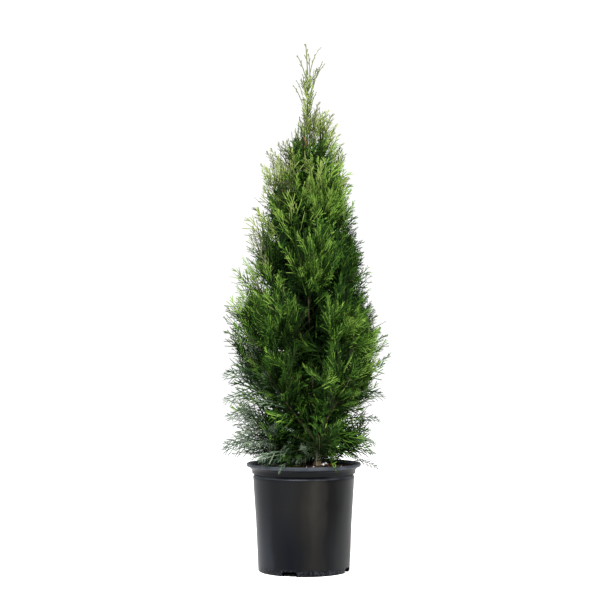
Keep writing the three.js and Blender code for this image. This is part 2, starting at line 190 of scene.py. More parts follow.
class Basket:
    """Gathers the points, faces and material numbers of many small things for one joined mesh."""

    def __init__(self):
        self.points, self.faces, self.kinds, self.count = [], [], [], 0

    def add(self, points, faces, kind):
        self.points.append(points)
        self.faces.append(faces + self.count)
        self.kinds.append(np.full(len(faces), kind))
        self.count += len(points)

    def piece(self, name, materials):
        arrays = [np.concatenate(parts) for parts in (self.points, self.faces, self.kinds)]
        return piece_from(name, arrays[0], arrays[1], materials, arrays[2])


def smooth(piece, angle=40):
    """Shades a piece smoothly, apart from edges sharper than an angle in degrees."""
    piece.data.shade_smooth()
    piece.data.set_sharp_from_angle(angle=math.radians(angle))


cone_points, cone_faces = shell(turned_rings([(0, 1), (1, 0.5)], 8), [0, 0, 0], [0, 0, 1])
print("a cone of two rings of 8:", len(cone_points), "points and", len(cone_faces), "triangles")

# %% [markdown]
# ## Patterns for the finishes
#
# Moulded plastic, peat and bark are all uneven, so each gets its colour from noise that is fixed to the
# place on the object, with a little relief from the same noise. An image would do this too, but noise has
# no seams and any scale. The first helpers make and link nodes, and add_pattern links one noise into a
# shader with them.


# %% Noise in a shader
def node(material, kind, **inputs):
    """A new shader node with some of its inputs set. An input's name has _ for a space."""
    made = material.node_tree.nodes.new(f"ShaderNode{kind}")
    for name, value in inputs.items():
        made.inputs[name.replace("_", " ")].default_value = value
    return made


def link(material, *pairs):
    """Links outputs to inputs, pair by pair."""
    for output, target in pairs:
        material.node_tree.links.new(output, target)


def colour_ramp(material, stops):
    """A node that turns a number into a colour. Each stop is a position and a colour."""
    ramp = node(material, "ValToRGB")
    while len(ramp.color_ramp.elements) < len(stops):
        ramp.color_ramp.elements.new(0.5)
    for element, (position, colour) in zip(ramp.color_ramp.elements, stops):
        element.position = position
        element.color = (*colour, 1)
    return ramp


def colour_blend(material):
    """A node that blends two colours. Returns its factor, its two colours and its result."""
    blend = node(material, "Mix")
    blend.data_type = "RGBA"
    first, second = [socket for socket in blend.inputs if socket.type == "RGBA"]
    result = [socket for socket in blend.outputs if socket.type == "RGBA"][0]
    return blend.inputs["Factor"], first, second, result


def add_pattern(material, shader, stretch, scale, colours, relief, roughness=None):
    """Colours a surface by noise between two or more colours, and gives it relief of that height."""
    place = node(material, "TexCoord")
    mapping = node(material, "Mapping", Scale=stretch)
    pattern = node(material, "TexNoise", Scale=scale, Detail=6)
    ramp = colour_ramp(material, colours)
    bump = node(material, "Bump", Distance=relief, Strength=0.8)
    link(
        material,
        (place.outputs["Object"], mapping.inputs["Vector"]),
        (mapping.outputs["Vector"], pattern.inputs["Vector"]),
        (pattern.outputs["Fac"], ramp.inputs["Fac"]),
        (ramp.outputs["Color"], shader.inputs["Base Color"]),
        (pattern.outputs["Fac"], bump.inputs["Height"]),
        (bump.outputs["Normal"], shader.inputs["Normal"]),
    )
    if roughness:
        spread = node(material, "MapRange", To_Min=roughness[0], To_Max=roughness[1])
        link(
            material,
            (pattern.outputs["Fac"], spread.inputs["Value"]),
            (spread.outputs["Result"], shader.inputs["Roughness"]),
        )


pattern_test, pattern_shader = plain_material("pattern_test", (0, 0, 0), 0.5)
add_pattern(pattern_test, pattern_shader, (1, 1, 1), 10, [(0, (0, 0, 0)), (1, (1, 1, 1))], 0.001)
print("a pattern takes", len(pattern_test.node_tree.nodes), "nodes with its shader and output")
bpy.data.materials.remove(pattern_test)

# %% [markdown]
# ## Streaks and smudges
#
# A black pot is never one black. Its wall has broad upright streaks, bluish, warm and nearly black, that are
# painted reflections of the room round it, fixed to their headings on the pot, and dirt sits in smudges round
# its foot. A streak keeps its heading, so a radial gradient finds it and noise makes its edges wander.
# Smudges are finer noise, laid over that and faded out by height. Painting the mesh's corners would need a
# far finer mesh.


# %% Streaks and smudges
def add_streaks(material, shader, stops, heights, wander, roughness):
    """Colours a turned wall by its heading, in upright streaks whose edges wander by some noise.

    Each stop has one colour for above the greater height and one for below the smaller.
    """
    place = node(material, "TexCoord")
    mapping = node(material, "Mapping", Scale=(1, 1, 0.6))
    pattern = node(material, "TexNoise", Scale=22, Detail=5)
    around = node(material, "TexGradient")
    around.gradient_type = "RADIAL"
    moved = node(material, "Math")
    moved.operation = "MULTIPLY_ADD"
    moved.inputs[1].default_value = wander
    parts = node(material, "SeparateXYZ")
    rise = node(material, "MapRange", From_Min=heights[0], From_Max=heights[1])
    factor, below, above, result = colour_blend(material)
    spread = node(material, "MapRange", To_Min=roughness[0], To_Max=roughness[1])
    link(
        material,
        (place.outputs["Object"], mapping.inputs["Vector"]),
        (place.outputs["Object"], around.inputs["Vector"]),
        (place.outputs["Object"], parts.inputs["Vector"]),
        (mapping.outputs["Vector"], pattern.inputs["Vector"]),
        (pattern.outputs["Fac"], moved.inputs[0]),
        (around.outputs["Fac"], moved.inputs[2]),
        (parts.outputs["Z"], rise.inputs["Value"]),
        (rise.outputs["Result"], factor),
        (result, shader.inputs["Base Color"]),
        (pattern.outputs["Fac"], spread.inputs["Value"]),
        (spread.outputs["Result"], shader.inputs["Roughness"]),
    )
    for column, end in ((1, above), (2, below)):
        turned = [((stop[0] + 180) / 360 + wander / 2, stop[column]) for stop in stops]
        ramp = colour_ramp(material, turned)
        ramp.color_ramp.interpolation = "EASE"
        link(material, (moved.outputs["Value"], ramp.inputs["Fac"]), (ramp.outputs["Color"], end))


def add_smudges(material, shader, heights, scale, colours):
    """Lays mottled smudges over a colour. They fade out between two heights."""
    under = shader.inputs["Base Color"].links[0].from_socket
    place = node(material, "TexCoord")
    pattern = node(material, "TexNoise", Scale=scale)
    ramp = colour_ramp(material, colours)
    parts = node(material, "SeparateXYZ")
    fade = node(material, "MapRange", From_Min=heights[0], From_Max=heights[1], To_Min=1, To_Max=0)
    factor, clean, smudged, result = colour_blend(material)
    link(
        material,
        (place.outputs["Object"], pattern.inputs["Vector"]),
        (place.outputs["Object"], parts.inputs["Vector"]),
        (parts.outputs["Z"], fade.inputs["Value"]),
        (pattern.outputs["Fac"], ramp.inputs["Fac"]),
        (fade.outputs["Result"], factor),
        (under, clean),
        (ramp.outputs["Color"], smudged),
        (result, shader.inputs["Base Color"]),
    )


# %% [markdown]
# ## The pot
#
# A nursery pot is blown or moulded from black plastic. Its body tapers to the foot. Near the top a narrow
# groove runs under a collar that stands a little proud, and a rolled lip flares out so that hands and
# machines can lift the pot. All of it is round, so it is drawn as one profile, outside and inside, that a
# lathe would turn. Subdividing a cylinder would blur the groove and the ledge.

# %% The pot's profile
WALL = 0.0022
FLOOR_THICKNESS = 0.003
COLLAR_HEIGHT = 0.0238
LIP = 0.0076

pot_low, pot_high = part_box("pot")
POT_HEIGHT = pot_high.z
RIM = (pot_high.x - pot_low.x) / 2
COLLAR = RIM - 0.0106
SHOULDER = RIM - 0.0132
FOOT = RIM - 0.0228
collar_foot = POT_HEIGHT - COLLAR_HEIGHT


def arc(centre, radius, start, end, steps):
    """Points of an arc in a profile: (height, radius) rows round a centre, by angles in degrees."""
    turns = np.radians(np.linspace(start, end, steps))
    return [(centre[0] + radius * math.sin(t), centre[1] + radius * math.cos(t)) for t in turns]


POT_OUTSIDE = [
    (0, FOOT - 0.004),
    *arc((0.003, FOOT - 0.003), 0.003, -80, 0, 6),
    (0.02, FOOT + 0.0010),
    (0.1, FOOT + 0.0048),
    (0.16, FOOT + 0.0086),
    (collar_foot - 0.008, SHOULDER),
    *arc((collar_foot - 0.0036, SHOULDER - 0.0027), 0.0034, 10, 66, 7),
    (collar_foot + 0.0006, SHOULDER - 0.0013),
    (collar_foot + 0.0040, SHOULDER - 0.0009),
    *arc((collar_foot + 0.0054, COLLAR - 0.0012), 0.0012, -80, 0, 4),
    (POT_HEIGHT - 0.0130, COLLAR + 0.0002),
    (POT_HEIGHT - 0.0115, COLLAR + 0.0012),
    (POT_HEIGHT - LIP, COLLAR + 0.0050),
    (POT_HEIGHT - 0.0072, COLLAR + 0.0066),
    (POT_HEIGHT - 0.0062, COLLAR + 0.0075),
    *arc((POT_HEIGHT - 0.0044, RIM - 0.0020), 0.0020, -50, 0, 4),
    *arc((POT_HEIGHT - 0.0018, RIM - 0.0018), 0.0018, 0, 90, 6),
]
POT_INSIDE = [
    (POT_HEIGHT - 0.001, RIM - 0.0034),
    (POT_HEIGHT - 0.006, COLLAR - WALL + 0.0058),
    (POT_HEIGHT - 0.012, COLLAR - WALL + 0.0004),
    (collar_foot + 0.005, COLLAR - WALL),
    (collar_foot + 0.004, SHOULDER - WALL - 0.0032),
    (collar_foot - 0.002, SHOULDER - WALL - 0.0032),
    (collar_foot - 0.008, SHOULDER - WALL),
    (FLOOR_THICKNESS, FOOT - WALL),
]

print("profile:", len(POT_OUTSIDE), "points outside,", len(POT_INSIDE), "inside, height", POT_HEIGHT)

# %% [markdown]
# ## The drain slots
#
# Water leaves through four slots that cross the corner between the wall and the floor. A profile can't hold
# them, because they aren't the same all round, so each slot is cut by a bar with round ends, as a boolean.

# %% The drain slots
DRAIN_COUNT = 4
DRAIN_WIDTH = 0.031
DRAIN_HEIGHT = 0.011
DRAIN_REACH = 0.014
DRAIN_FIRST = math.radians(-108)


def drain_cutter(heading):
    """A bar with round ends that crosses the pot's lower corner at a heading."""
    half = DRAIN_HEIGHT / 2
    straight = DRAIN_WIDTH / 2 - half
    turns = np.radians(np.linspace(-90, 90, 9))
    right = np.stack([straight + half * np.cos(turns), half * np.sin(turns)], -1)
    outline = np.vstack([right, -right])
    near, far = (np.insert(outline, 1, y, axis=1) for y in (-DRAIN_REACH, DRAIN_REACH))
    points, faces = shell(np.stack([far, near]), [0, DRAIN_REACH, 0], [0, -DRAIN_REACH, 0])
    cutter = piece_from("drain_cutter", points, faces, [])
    cutter.location = (FOOT * math.cos(heading), FOOT * math.sin(heading), half * 0.7)
    cutter.rotation_euler.z = heading + math.pi / 2
    return cutter


def cut_away(piece, cutters):
    """Cuts solids out of a piece and removes them."""
    for cutter in cutters:
        cut = piece.modifiers.new("cut", "BOOLEAN")
        cut.object = cutter
        cut.solver = "EXACT"
    bpy.context.view_layer.update()
    shaped = piece.evaluated_get(bpy.context.evaluated_depsgraph_get())
    mesh = bpy.data.meshes.new_from_object(shaped)
    piece.modifiers.clear()
    piece.data = mesh
    for cutter in cutters:
        bpy.data.objects.remove(cutter)


print("drain slots:", DRAIN_COUNT, "of", DRAIN_WIDTH, "by", DRAIN_HEIGHT)

# %% [markdown]
# ## The pot's plastics
#
# One moulding has four finishes. The wall shines softly, with bluish, brownish and nearly black streaks of
# painted reflection that differ high and low, and with smudges of dirt at the foot. The lip and the ledge
# under the groove are a lighter grey, a painted highlight where they face the light. The collar is evenly
# darker, painted shade under the lip, and the groove under it is painted shade, darkest in front. One
# material with masks could do it, but four simple ones are easier to follow.

# %% The pot's plastics
# painted shade in the groove under the collar: darkest in front, lighter round the sides and the back
GROOVE_DARK = (0.0016, 0.0017, 0.0020)
GROOVE_LIGHT = (0.0090, 0.0096, 0.0110)
# heading in degrees, colour
GROOVE_PAINTED_SHADE = [
    (-180, GROOVE_LIGHT),
    (-128, GROOVE_LIGHT),
    (-112, GROOVE_DARK),
    (-68, GROOVE_DARK),
    (-52, GROOVE_LIGHT),
    (150, GROOVE_LIGHT),
]
STREAK_HEIGHTS = (0.05, 0.13)
STREAK_WANDER = 0.06
SMUDGES = [(0.44, (0.0002, 0.0002, 0.0006)), (0.64, (0.0125, 0.0140, 0.0180))]
SMUDGE_HEIGHTS = (0.009, 0.015)
SMUDGE_SCALE = 260

pot_plastic, pot_shader = plain_material("pot_plastic", (0.005, 0.005, 0.006), 0.34, 0.06)
# painted reflections of the room round the pot, fixed to headings on it: bluish low on the front left, warm
# just right of the front with a nearly black band beside it
# heading in degrees, colour high on the wall, colour low on the wall
POT_PAINTED_REFLECTIONS = [
    (-180, (0.0025, 0.0029, 0.0042), (0.0025, 0.0029, 0.0042)),
    (-150, (0.0030, 0.0034, 0.0046), (0.0062, 0.0074, 0.0108)),
    (-134, (0.0034, 0.0038, 0.0048), (0.0062, 0.0074, 0.0108)),
    (-124, (0.0022, 0.0024, 0.0030), (0.0014, 0.0018, 0.0030)),
    (-110, (0.0036, 0.0037, 0.0041), (0.0001, 0.0004, 0.0020)),
    (-96, (0.0034, 0.0033, 0.0032), (0.0010, 0.0012, 0.0020)),
    (-86, (0.0060, 0.0055, 0.0046), (0.0030, 0.0030, 0.0030)),
    (-77, (0.0104, 0.0095, 0.0078), (0.0056, 0.0052, 0.0046)),
    (-68, (0.0056, 0.0052, 0.0046), (0.0044, 0.0043, 0.0042)),
    (-60, (0.0001, 0.0001, 0.0003), (0.0018, 0.0020, 0.0026)),
    (-52, (0.0001, 0.0001, 0.0003), (0.0030, 0.0034, 0.0040)),
    (-44, (0.0020, 0.0022, 0.0024), (0.0058, 0.0062, 0.0066)),
    (-30, (0.0070, 0.0075, 0.0075), (0.0070, 0.0075, 0.0075)),
    (0, (0.0030, 0.0030, 0.0034), (0.0030, 0.0030, 0.0034)),
    (60, (0.0060, 0.0060, 0.0060), (0.0040, 0.0040, 0.0044)),
    (120, (0.0022, 0.0026, 0.0034), (0.0022, 0.0026, 0.0034)),
]
add_streaks(pot_plastic, pot_shader, POT_PAINTED_REFLECTIONS, STREAK_HEIGHTS, STREAK_WANDER, (0.28, 0.42))
add_smudges(pot_plastic, pot_shader, SMUDGE_HEIGHTS, SMUDGE_SCALE, SMUDGES)
# the lighter bluish grey of the lip and the ledge is a painted highlight where they face the light
lip_plastic, lip_shader = plain_material("pot_lip_plastic", (0.02, 0.024, 0.03), 0.42, 0.1)
lip_colours = [(0.3, (0.008, 0.010, 0.014)), (0.7, (0.031, 0.035, 0.042))]
add_pattern(lip_plastic, lip_shader, (1, 1, 0.5), 40, lip_colours, 0.0002, (0.34, 0.5))
# the collar's evenly darker plastic is painted shade under the overhanging lip
collar_plastic, _ = plain_material("pot_collar_plastic", (0.0028, 0.0031, 0.0038), 0.38, 0.05)
# the groove's plastic is painted shade, darkest in front
groove_plastic, groove_shader = plain_material("pot_groove_plastic", (0.001, 0.001, 0.001), 0.6, 0.02)
groove_stops = [(heading, colour, colour) for heading, colour in GROOVE_PAINTED_SHADE]
add_streaks(groove_plastic, groove_shader, groove_stops, STREAK_HEIGHTS, STREAK_WANDER, (0.5, 0.6))
pot_plastics = [pot_plastic, lip_plastic, collar_plastic, groove_plastic]
print("pot plastics:", [plastic.name for plastic in pot_plastics])

# %% [markdown]
# ## The pot's shell
#
# The profile is turned and closed. A moulded wall is never quite round, so two slow waves run round it, and
# they bend its reflections. Each face then gets its plastic by where it lies, before the slots are cut. An
# even cylinder would look machined.

# %% The pot's shell
POT_SIDES = 192
POT_WAVE = 0.0003
WAVE_FROM = 0.01

pot_rings = turned_rings(POT_OUTSIDE + POT_INSIDE, POT_SIDES)
pot_turn = np.arctan2(pot_rings[..., 1], pot_rings[..., 0])
wave = np.sin(3 * pot_turn + 0.6) + 0.6 * np.sin(5 * pot_turn + 25 * pot_rings[..., 2])
pot_rings[..., :2] *= 1 + (POT_WAVE / RIM * wave * (pot_rings[..., 2] > WAVE_FROM))[..., None]
pot_points, pot_faces = shell(pot_rings, [0, 0, 0], [0, 0, FLOOR_THICKNESS])
middles = np.array([np.mean([pot_points[i] for i in face], axis=0) for face in pot_faces])
middle_radii = np.hypot(middles[:, 0], middles[:, 1])
on_lip = (middles[:, 2] > POT_HEIGHT - LIP) & (middle_radii > COLLAR)
over_foot = middles[:, 2] - collar_foot
on_ledge = (abs(over_foot + 0.0010) < 0.0014) & (middle_radii > SHOULDER - 0.0022)
on_collar = (over_foot > 0.0041) & (middles[:, 2] < POT_HEIGHT - LIP) & (middle_radii > COLLAR - 0.0014)
in_groove = (abs(over_foot - 0.0020) < 0.0021) & (middle_radii > SHOULDER - 0.0022)
# the lip and the ledge take the plastic with the painted highlight, the collar and the groove those with
# painted shade
pot_kinds = np.select([in_groove, on_collar, on_lip | on_ledge], [3, 2, 1], 0)
pot = piece_from("pot_shell", pot_points, pot_faces, pot_plastics, pot_kinds)
drain_headings = [DRAIN_FIRST + i / DRAIN_COUNT * 2 * math.pi for i in range(DRAIN_COUNT)]
cut_away(pot, [drain_cutter(heading) for heading in drain_headings])
smooth(pot, 35)
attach(pot, "root")
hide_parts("pot")
print("pot:", len(pot.data.polygons), "faces, rim radius", round(RIM, 4))

# %% [markdown]
# ## The soil
#
# The pot is filled with dark peat. Its top is lumpy and a little higher round the trunk. The bed is turned
# like the pot, just inside its wall, and noise moves the points of its top up and down. Displacing the
# top with a modifier would do the same, but here the wall's edge stays where it is.

# %% The soil
SOIL_SIDES = 96
SOIL_ROWS = 26
SOIL_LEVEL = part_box("soil")[1].z
SOIL_EDGE = 0.201
SOIL_FLAT = 0.044
SOIL_LUMP = 0.0022
SOIL_FOOT = 0.016
SOIL_GAP = 0.0003

soil_peat, soil_shader = plain_material("soil_peat", (0.03, 0.018, 0.01), 0.95, 0.2)
peat_colours = [(0.35, (0.008, 0.005, 0.003)), (0.55, (0.03, 0.018, 0.01)), (0.75, (0.075, 0.045, 0.025))]
add_pattern(soil_peat, soil_shader, (1, 1, 1), 160, peat_colours, 0.002)


def soil_top(radius):
    """The soil's height at a distance from the pot's middle."""
    return np.interp(radius, [0, SOIL_FLAT, COLLAR - WALL], [SOIL_LEVEL, SOIL_LEVEL, SOIL_EDGE])


inside_rows = np.array(POT_INSIDE)[::-1]
soil_edge_radius = np.interp(SOIL_EDGE, inside_rows[:, 0], inside_rows[:, 1]) - SOIL_GAP
top_radii = soil_edge_radius * (1 - np.arange(SOIL_ROWS) / SOIL_ROWS)
side_heights = [SOIL_FOOT, *inside_rows[(inside_rows[:, 0] > SOIL_FOOT) & (inside_rows[:, 0] < SOIL_EDGE), 0]]
side_rows = [(z, np.interp(z, *inside_rows.T) - SOIL_GAP) for z in side_heights]
soil_rings = turned_rings([*side_rows, *zip(soil_top(top_radii), top_radii)], SOIL_SIDES)
lumps = soil_rings[len(side_rows) + 1 :].reshape(-1, 3)
places = [Vector(p) for p in lumps]
lumps[:, 2] += [SOIL_LUMP * (noise.noise(p * 70) + 0.5 * noise.noise(p * 190)) for p in places]
soil_points, soil_faces = shell(soil_rings, [0, 0, SOIL_FOOT], [0, 0, SOIL_LEVEL])
soil = piece_from("soil_bed", soil_points, soil_faces, [soil_peat])
smooth(soil, 60)
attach(soil, "root")
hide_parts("soil")
print("soil:", len(soil.data.polygons), "faces, level", round(SOIL_LEVEL, 4))

# %% [markdown]
# ## Crumbs on the soil
#
# Potting mix holds crumbs of bark and white grains of perlite. Each is a small crystal of eight faces,
# pressed and turned by chance, and a few larger ones lie to the right of the trunk, where the soil shows.
# A particle system could scatter them, but joined arrays survive an export.

# %% Crumbs on the soil
CRUMBS = 700
CRUMB_SIZE = (0.0008, 0.0026)
# size to the side, back and up, at the least and at the most
CRUMB_SHAPES = ([0.8, 0.4, 0.3], [1.8, 1.0, 0.8])
CRUMB_SHARES = [0.42, 0.42, 0.12, 0.04]
# place to the right and back, size, kind: two white grains and some red bark beside the trunk
BIG_CRUMBS = [
    (0.043, 0.008, 0.0050, 2),
    (0.038, -0.006, 0.0036, 2),
    (0.052, 0.006, 0.0030, 3),
    (0.062, 0.012, 0.0034, 3),
]

crumb_colours = {
    "bark_crumb": (0.07, 0.035, 0.018),
    "dark_crumb": (0.018, 0.011, 0.007),
    "perlite": (0.75, 0.73, 0.68),
    "red_crumb": (0.2, 0.04, 0.02),
}
crumb_kinds = [plain_material(name, colour, 0.9, 0.2)[0] for name, colour in crumb_colours.items()]
crumbs = Basket()
soil_rng = np.random.default_rng(3)
crystal = np.array([[1, 0, 0], [0, 1, 0], [-1, 0, 0], [0, -1, 0], [0, 0, 1], [0, 0, -1]], float)
upper_faces = [[i, (i + 1) % 4, 4] for i in range(4)]
lower_faces = [[(i + 1) % 4, i, 5] for i in range(4)]
crystal_faces = np.array(upper_faces + lower_faces)
for _ in range(CRUMBS):
    radius = soil_edge_radius * 0.97 * math.sqrt(soil_rng.random())
    heading = soil_rng.random() * 2 * math.pi
    size = soil_rng.uniform(*CRUMB_SIZE)
    turn = np.linalg.qr(soil_rng.normal(size=(3, 3)))[0]
    turn *= np.sign(np.linalg.det(turn))
    shape = crystal * soil_rng.uniform(*CRUMB_SHAPES) * size
    spot = [radius * math.cos(heading), radius * math.sin(heading), soil_top(radius) + size * 0.3]
    crumbs.add(shape @ turn + spot, crystal_faces, soil_rng.choice(4, p=CRUMB_SHARES))
for x, y, size, kind in BIG_CRUMBS:
    spot = [x, y, soil_top(math.hypot(x, y)) + size * 0.5]
    crumbs.add(crystal * [1.1, 0.9, 0.8] * size + spot, crystal_faces, kind)
litter = crumbs.piece("soil_crumbs", crumb_kinds)
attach(litter, "root")
print("crumbs:", CRUMBS + len(BIG_CRUMBS), "with", len(litter.data.polygons), "faces")

# %% [markdown]
# ## The rule of growth
#
# The frame's solids were grown by a rule, and the fine growth follows the same rule. The crown has an
# outline, given as its reach to the left and right at some heights. Tiers of growth lie over cones round
# the trunk, each tier is shared out among a few masses, and every mass has its own wedge of the crown. One
# limb climbs out through each wedge. Writing the rule down again, and not measuring the solids, keeps the
# fine twigs where the plain ones are and lets them branch further.

# %% The crown's outline and its tiers
trunk_low, trunk_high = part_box("trunk")
TRUNK_FOOT = trunk_low.z
TRUNK_TIP = trunk_high.z
FOOT_LEAN = 0.027
TIP_LEAN = 0.008
TRUNK_BOW = 0.005

# the plain solids' outline: height, reach to the left, reach to the right
CROWN = np.array(
    [
        (0.190, 0.128, 0.146),
        (0.240, 0.148, 0.142),
        (0.300, 0.152, 0.152),
        (0.380, 0.167, 0.155),
        (0.460, 0.154, 0.163),
        (0.540, 0.143, 0.134),
        (0.620, 0.128, 0.112),
        (0.710, 0.107, 0.102),
        (0.800, 0.080, 0.088),
        (0.845, 0.062, 0.070),
        (0.880, 0.020, 0.060),
        (0.915, 0.010, 0.050),
        (0.935, 0.012, 0.028),
        (0.990, 0.012, 0.034),
        (1.046, 0.008, 0.024),
    ]
)

# the same, as the sprays fill it: rows read off at mostly even steps, then moved until the grown crown
# fitted
OUTLINE = np.array(
    [
        (0.190, 0.124, 0.142),
        (0.225, 0.140, 0.140),
        (0.250, 0.144, 0.142),
        (0.277, 0.140, 0.144),
        (0.317, 0.160, 0.137),
        (0.356, 0.138, 0.150),
        (0.396, 0.150, 0.156),
        (0.436, 0.142, 0.171),
        (0.475, 0.163, 0.166),
        (0.515, 0.162, 0.147),
        (0.554, 0.136, 0.130),
        (0.594, 0.135, 0.126),
        (0.634, 0.113, 0.120),
        (0.673, 0.110, 0.111),
        (0.713, 0.109, 0.107),
        (0.752, 0.084, 0.098),
        (0.792, 0.067, 0.094),
        (0.825, 0.054, 0.080),
        (0.848, 0.046, 0.074),
    ]
)

# name, foot, slope, masses, heading of the first mass
TIERS = [
    ("skirt", 0.216, 0, 5, -84),
    ("low", 0.238, 0.72, 5, -58),
    ("middle", 0.300, 1.15, 5, -48),
    ("high", 0.395, 1.6, 5, -90),
    ("upper", 0.515, 2.1, 4, -50),
    ("shoulder", 0.640, 3, 4, -8),
    ("leader", 0.775, 6, 1, 90),
]
LIMB_START = 0.3
LIMB_LIFT = (0.5, 0.62)
LIMB_SWAY = 0.3
LIMB_REACH = 0.97
CELL_SEED = 7
UP = np.array([0, 0, 1.0])


def mix(low, high, share):
    """The value that lies at a share of the way from low to high."""
    return low + (high - low) * share


def crown_at(z, rows):
    """The crown's middle and radius at a height."""
    left = np.interp(z, rows[:, 0], rows[:, 1])
    right = np.interp(z, rows[:, 0], rows[:, 2])
    return (right - left) / 2, (left + right) / 2


def outward_share(p, rows=CROWN):
    """How far out a point lies: 0 in the crown's middle and 1 on its outline."""
    middle, radius = crown_at(p[..., 2], rows)
    share = np.hypot(p[..., 0] - middle, p[..., 1]) / radius
    off = (p[..., 2] < rows[0, 0]) | (p[..., 2] > rows[-1, 0])
    return np.where(off, 9.0, share)


def trunk_axis(z):
    """The middle of the trunk at a height. It leans, and bows a little to the front."""
    t = (np.asarray(z, float) - TRUNK_FOOT) / (TRUNK_TIP - TRUNK_FOOT)
    x = FOOT_LEAN * (1 - t) ** 2 + TIP_LEAN * t * t
    y = -TRUNK_BOW * np.sin(np.pi * np.minimum(t, 1))
    return np.stack([x, y, np.broadcast_to(z, np.shape(x))], -1)


def tier_floor(tier, radius):
    """The height of the cone that a tier lies on, at a radius."""
    return TIERS[tier][1] + TIERS[tier][2] * radius


def tier_point(tier, radius, heading, share):
    """A point by its radius and heading from the trunk, and its share of the tier's height."""
    z = mix(tier_floor(tier, radius), tier_floor(tier + 1, radius), share)
    out = np.stack([np.cos(heading) + 0 * z, np.sin(heading) + 0 * z, 0 * z], -1)
    return trunk_axis(z) + np.asarray(radius)[..., None] * out


def tier_reach(tier, heading, share):
    """The radius at which that line leaves the crown."""
    radii = np.arange(0, 0.3, 0.001)
    outside = outward_share(tier_point(tier, radii, heading, share)) >= 1
    return radii[np.argmax(outside)]


print("crown: middle and radius at a height of 0.6:", np.round(crown_at(0.6, CROWN), 3))

# %% [markdown]
# ## The wedges of the crown
#
# A tier's masses share out the full turn evenly. Each gets one wedge, called a cell here, and one limb that
# sways and lifts by chance. The chance comes from the same short recipe that placed the plain limbs, because
# any other source of random numbers would put the fine limbs beside the plain ones.


# %% The cells
def stream(seed):
    """The same repeatable numbers from 0 to 1 that placed the plain limbs."""
    state = seed
    while True:
        state = (state * 1664525 + 1013904223) % 2**32
        yield state / 2**32


class Cell:
    """One mass's wedge of the crown and the limb that climbs through it."""

    def __init__(self, tier, number, chance):
        name, _, _, masses, heading = TIERS[tier]
        self.tier = tier
        self.name = f"{name}_{number + 1}"
        self.heading = math.radians(heading) + number / masses * 2 * math.pi
        self.half_angle = math.pi / masses
        self.sway = (next(chance) - 0.5) * LIMB_SWAY
        self.lift = mix(*LIMB_LIFT, next(chance))
        self.reach = tier_reach(tier, self.heading + self.sway, self.lift) * LIMB_REACH

    def point(self, outward, across, share):
        """A point by shares: outwards to the outline, across to the walls, and up to the roof."""
        heading = self.heading + across * self.half_angle
        return tier_point(self.tier, tier_reach(self.tier, heading, share) * outward, heading, share)

    def limb(self, outward):
        """A point of the limb. It climbs slowly at first and then more steeply."""
        outward = np.asarray(outward, float)
        heading = self.heading + self.sway * outward**2
        return tier_point(self.tier, self.reach * outward, heading, mix(LIMB_START, self.lift, outward**2))


chance = stream(CELL_SEED)
cells = [Cell(tier, i, chance) for tier in range(len(TIERS) - 1) for i in range(TIERS[tier][3])]
LEADER = len(TIERS) - 1
print("cells:", len(cells), "reach", [round(c.reach, 3) for c in cells[:5]])

# %% [markdown]
# ## The trunk
#
# Thuja bark is thin, reddish brown and shreds in long upright strips. The relief is in the mesh: noise that
# changes quickly round the trunk and slowly along it pushes each ring in and out. The colour uses noise
# that is stretched the same way. Relief in the material alone would leave the trunk's edge smooth.

# %% The trunk
TRUNK_RADIUS = 0.0052
TRUNK_TIP_RADIUS = 0.0013
FLARE = 0.0032
FLARE_HEIGHT = 0.012
TRUNK_RINGS = 260
TRUNK_SIDES = 28
BARK_DEPTH = 0.16

bark, bark_shader = plain_material("bark", (0.12, 0.07, 0.04), 0.85, 0.3)
bark_colours = [(0.3, (0.07, 0.05, 0.03)), (0.5, (0.2, 0.155, 0.095)), (0.7, (0.38, 0.31, 0.21))]
add_pattern(bark, bark_shader, (1, 1, 0.14), 260, bark_colours, 0.0006)
bough_bark, bough_shader = plain_material("bough_bark", (0.06, 0.04, 0.02), 0.85, 0.1)
bough_colours = [(0.3, (0.020, 0.016, 0.009)), (0.5, (0.055, 0.042, 0.024)), (0.7, (0.12, 0.095, 0.06))]
add_pattern(bough_bark, bough_shader, (1, 1, 0.5), 260, bough_colours, 0.0004)


def roughened(rings, centres, depth, fineness=330, stretch=0.12):
    """Pushes the rings' points in and out from their centres, in long strips."""
    out = rings - centres[:, None]
    flat = (centres[:, None] * np.array([0, 0, 1.0]) + out).reshape(-1, 3)
    places = flat * np.array([1, 1, stretch]) * fineness
    height = np.array([noise.noise(Vector(p)) + 0.5 * noise.noise(Vector(p) * 2.3) for p in places])
    return centres[:, None] + out * (1 + depth * height.reshape(rings.shape[:2]))[..., None]


def trunk_radius(z):
    """The trunk's radius at a height, with a flare at the root."""
    t = np.clip((z - TRUNK_FOOT) / (TRUNK_TIP - TRUNK_FOOT), 0, 1)
    return mix(TRUNK_RADIUS, TRUNK_TIP_RADIUS, t**0.85) + FLARE * np.exp(-(z - TRUNK_FOOT) / FLARE_HEIGHT)


trunk_heights = mix(TRUNK_FOOT - 0.003, TRUNK_TIP, np.linspace(0, 1, TRUNK_RINGS) ** 1.2)
trunk_centres = trunk_axis(trunk_heights)
level = turned_rings([(0, 1)], TRUNK_SIDES)[0]
trunk_rings = trunk_centres[:, None] + trunk_radius(trunk_heights)[:, None, None] * level
trunk_rings = roughened(trunk_rings, trunk_centres, BARK_DEPTH)
trunk_points, trunk_faces = shell(trunk_rings, trunk_centres[0], trunk_centres[-1])
trunk = piece_from("trunk_bark", trunk_points, trunk_faces, [bark])
smooth(trunk, 50)
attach(trunk, "root")
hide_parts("trunk")
print("trunk:", len(trunk.data.polygons), "faces from", round(TRUNK_FOOT, 4), "to", round(TRUNK_TIP, 4))

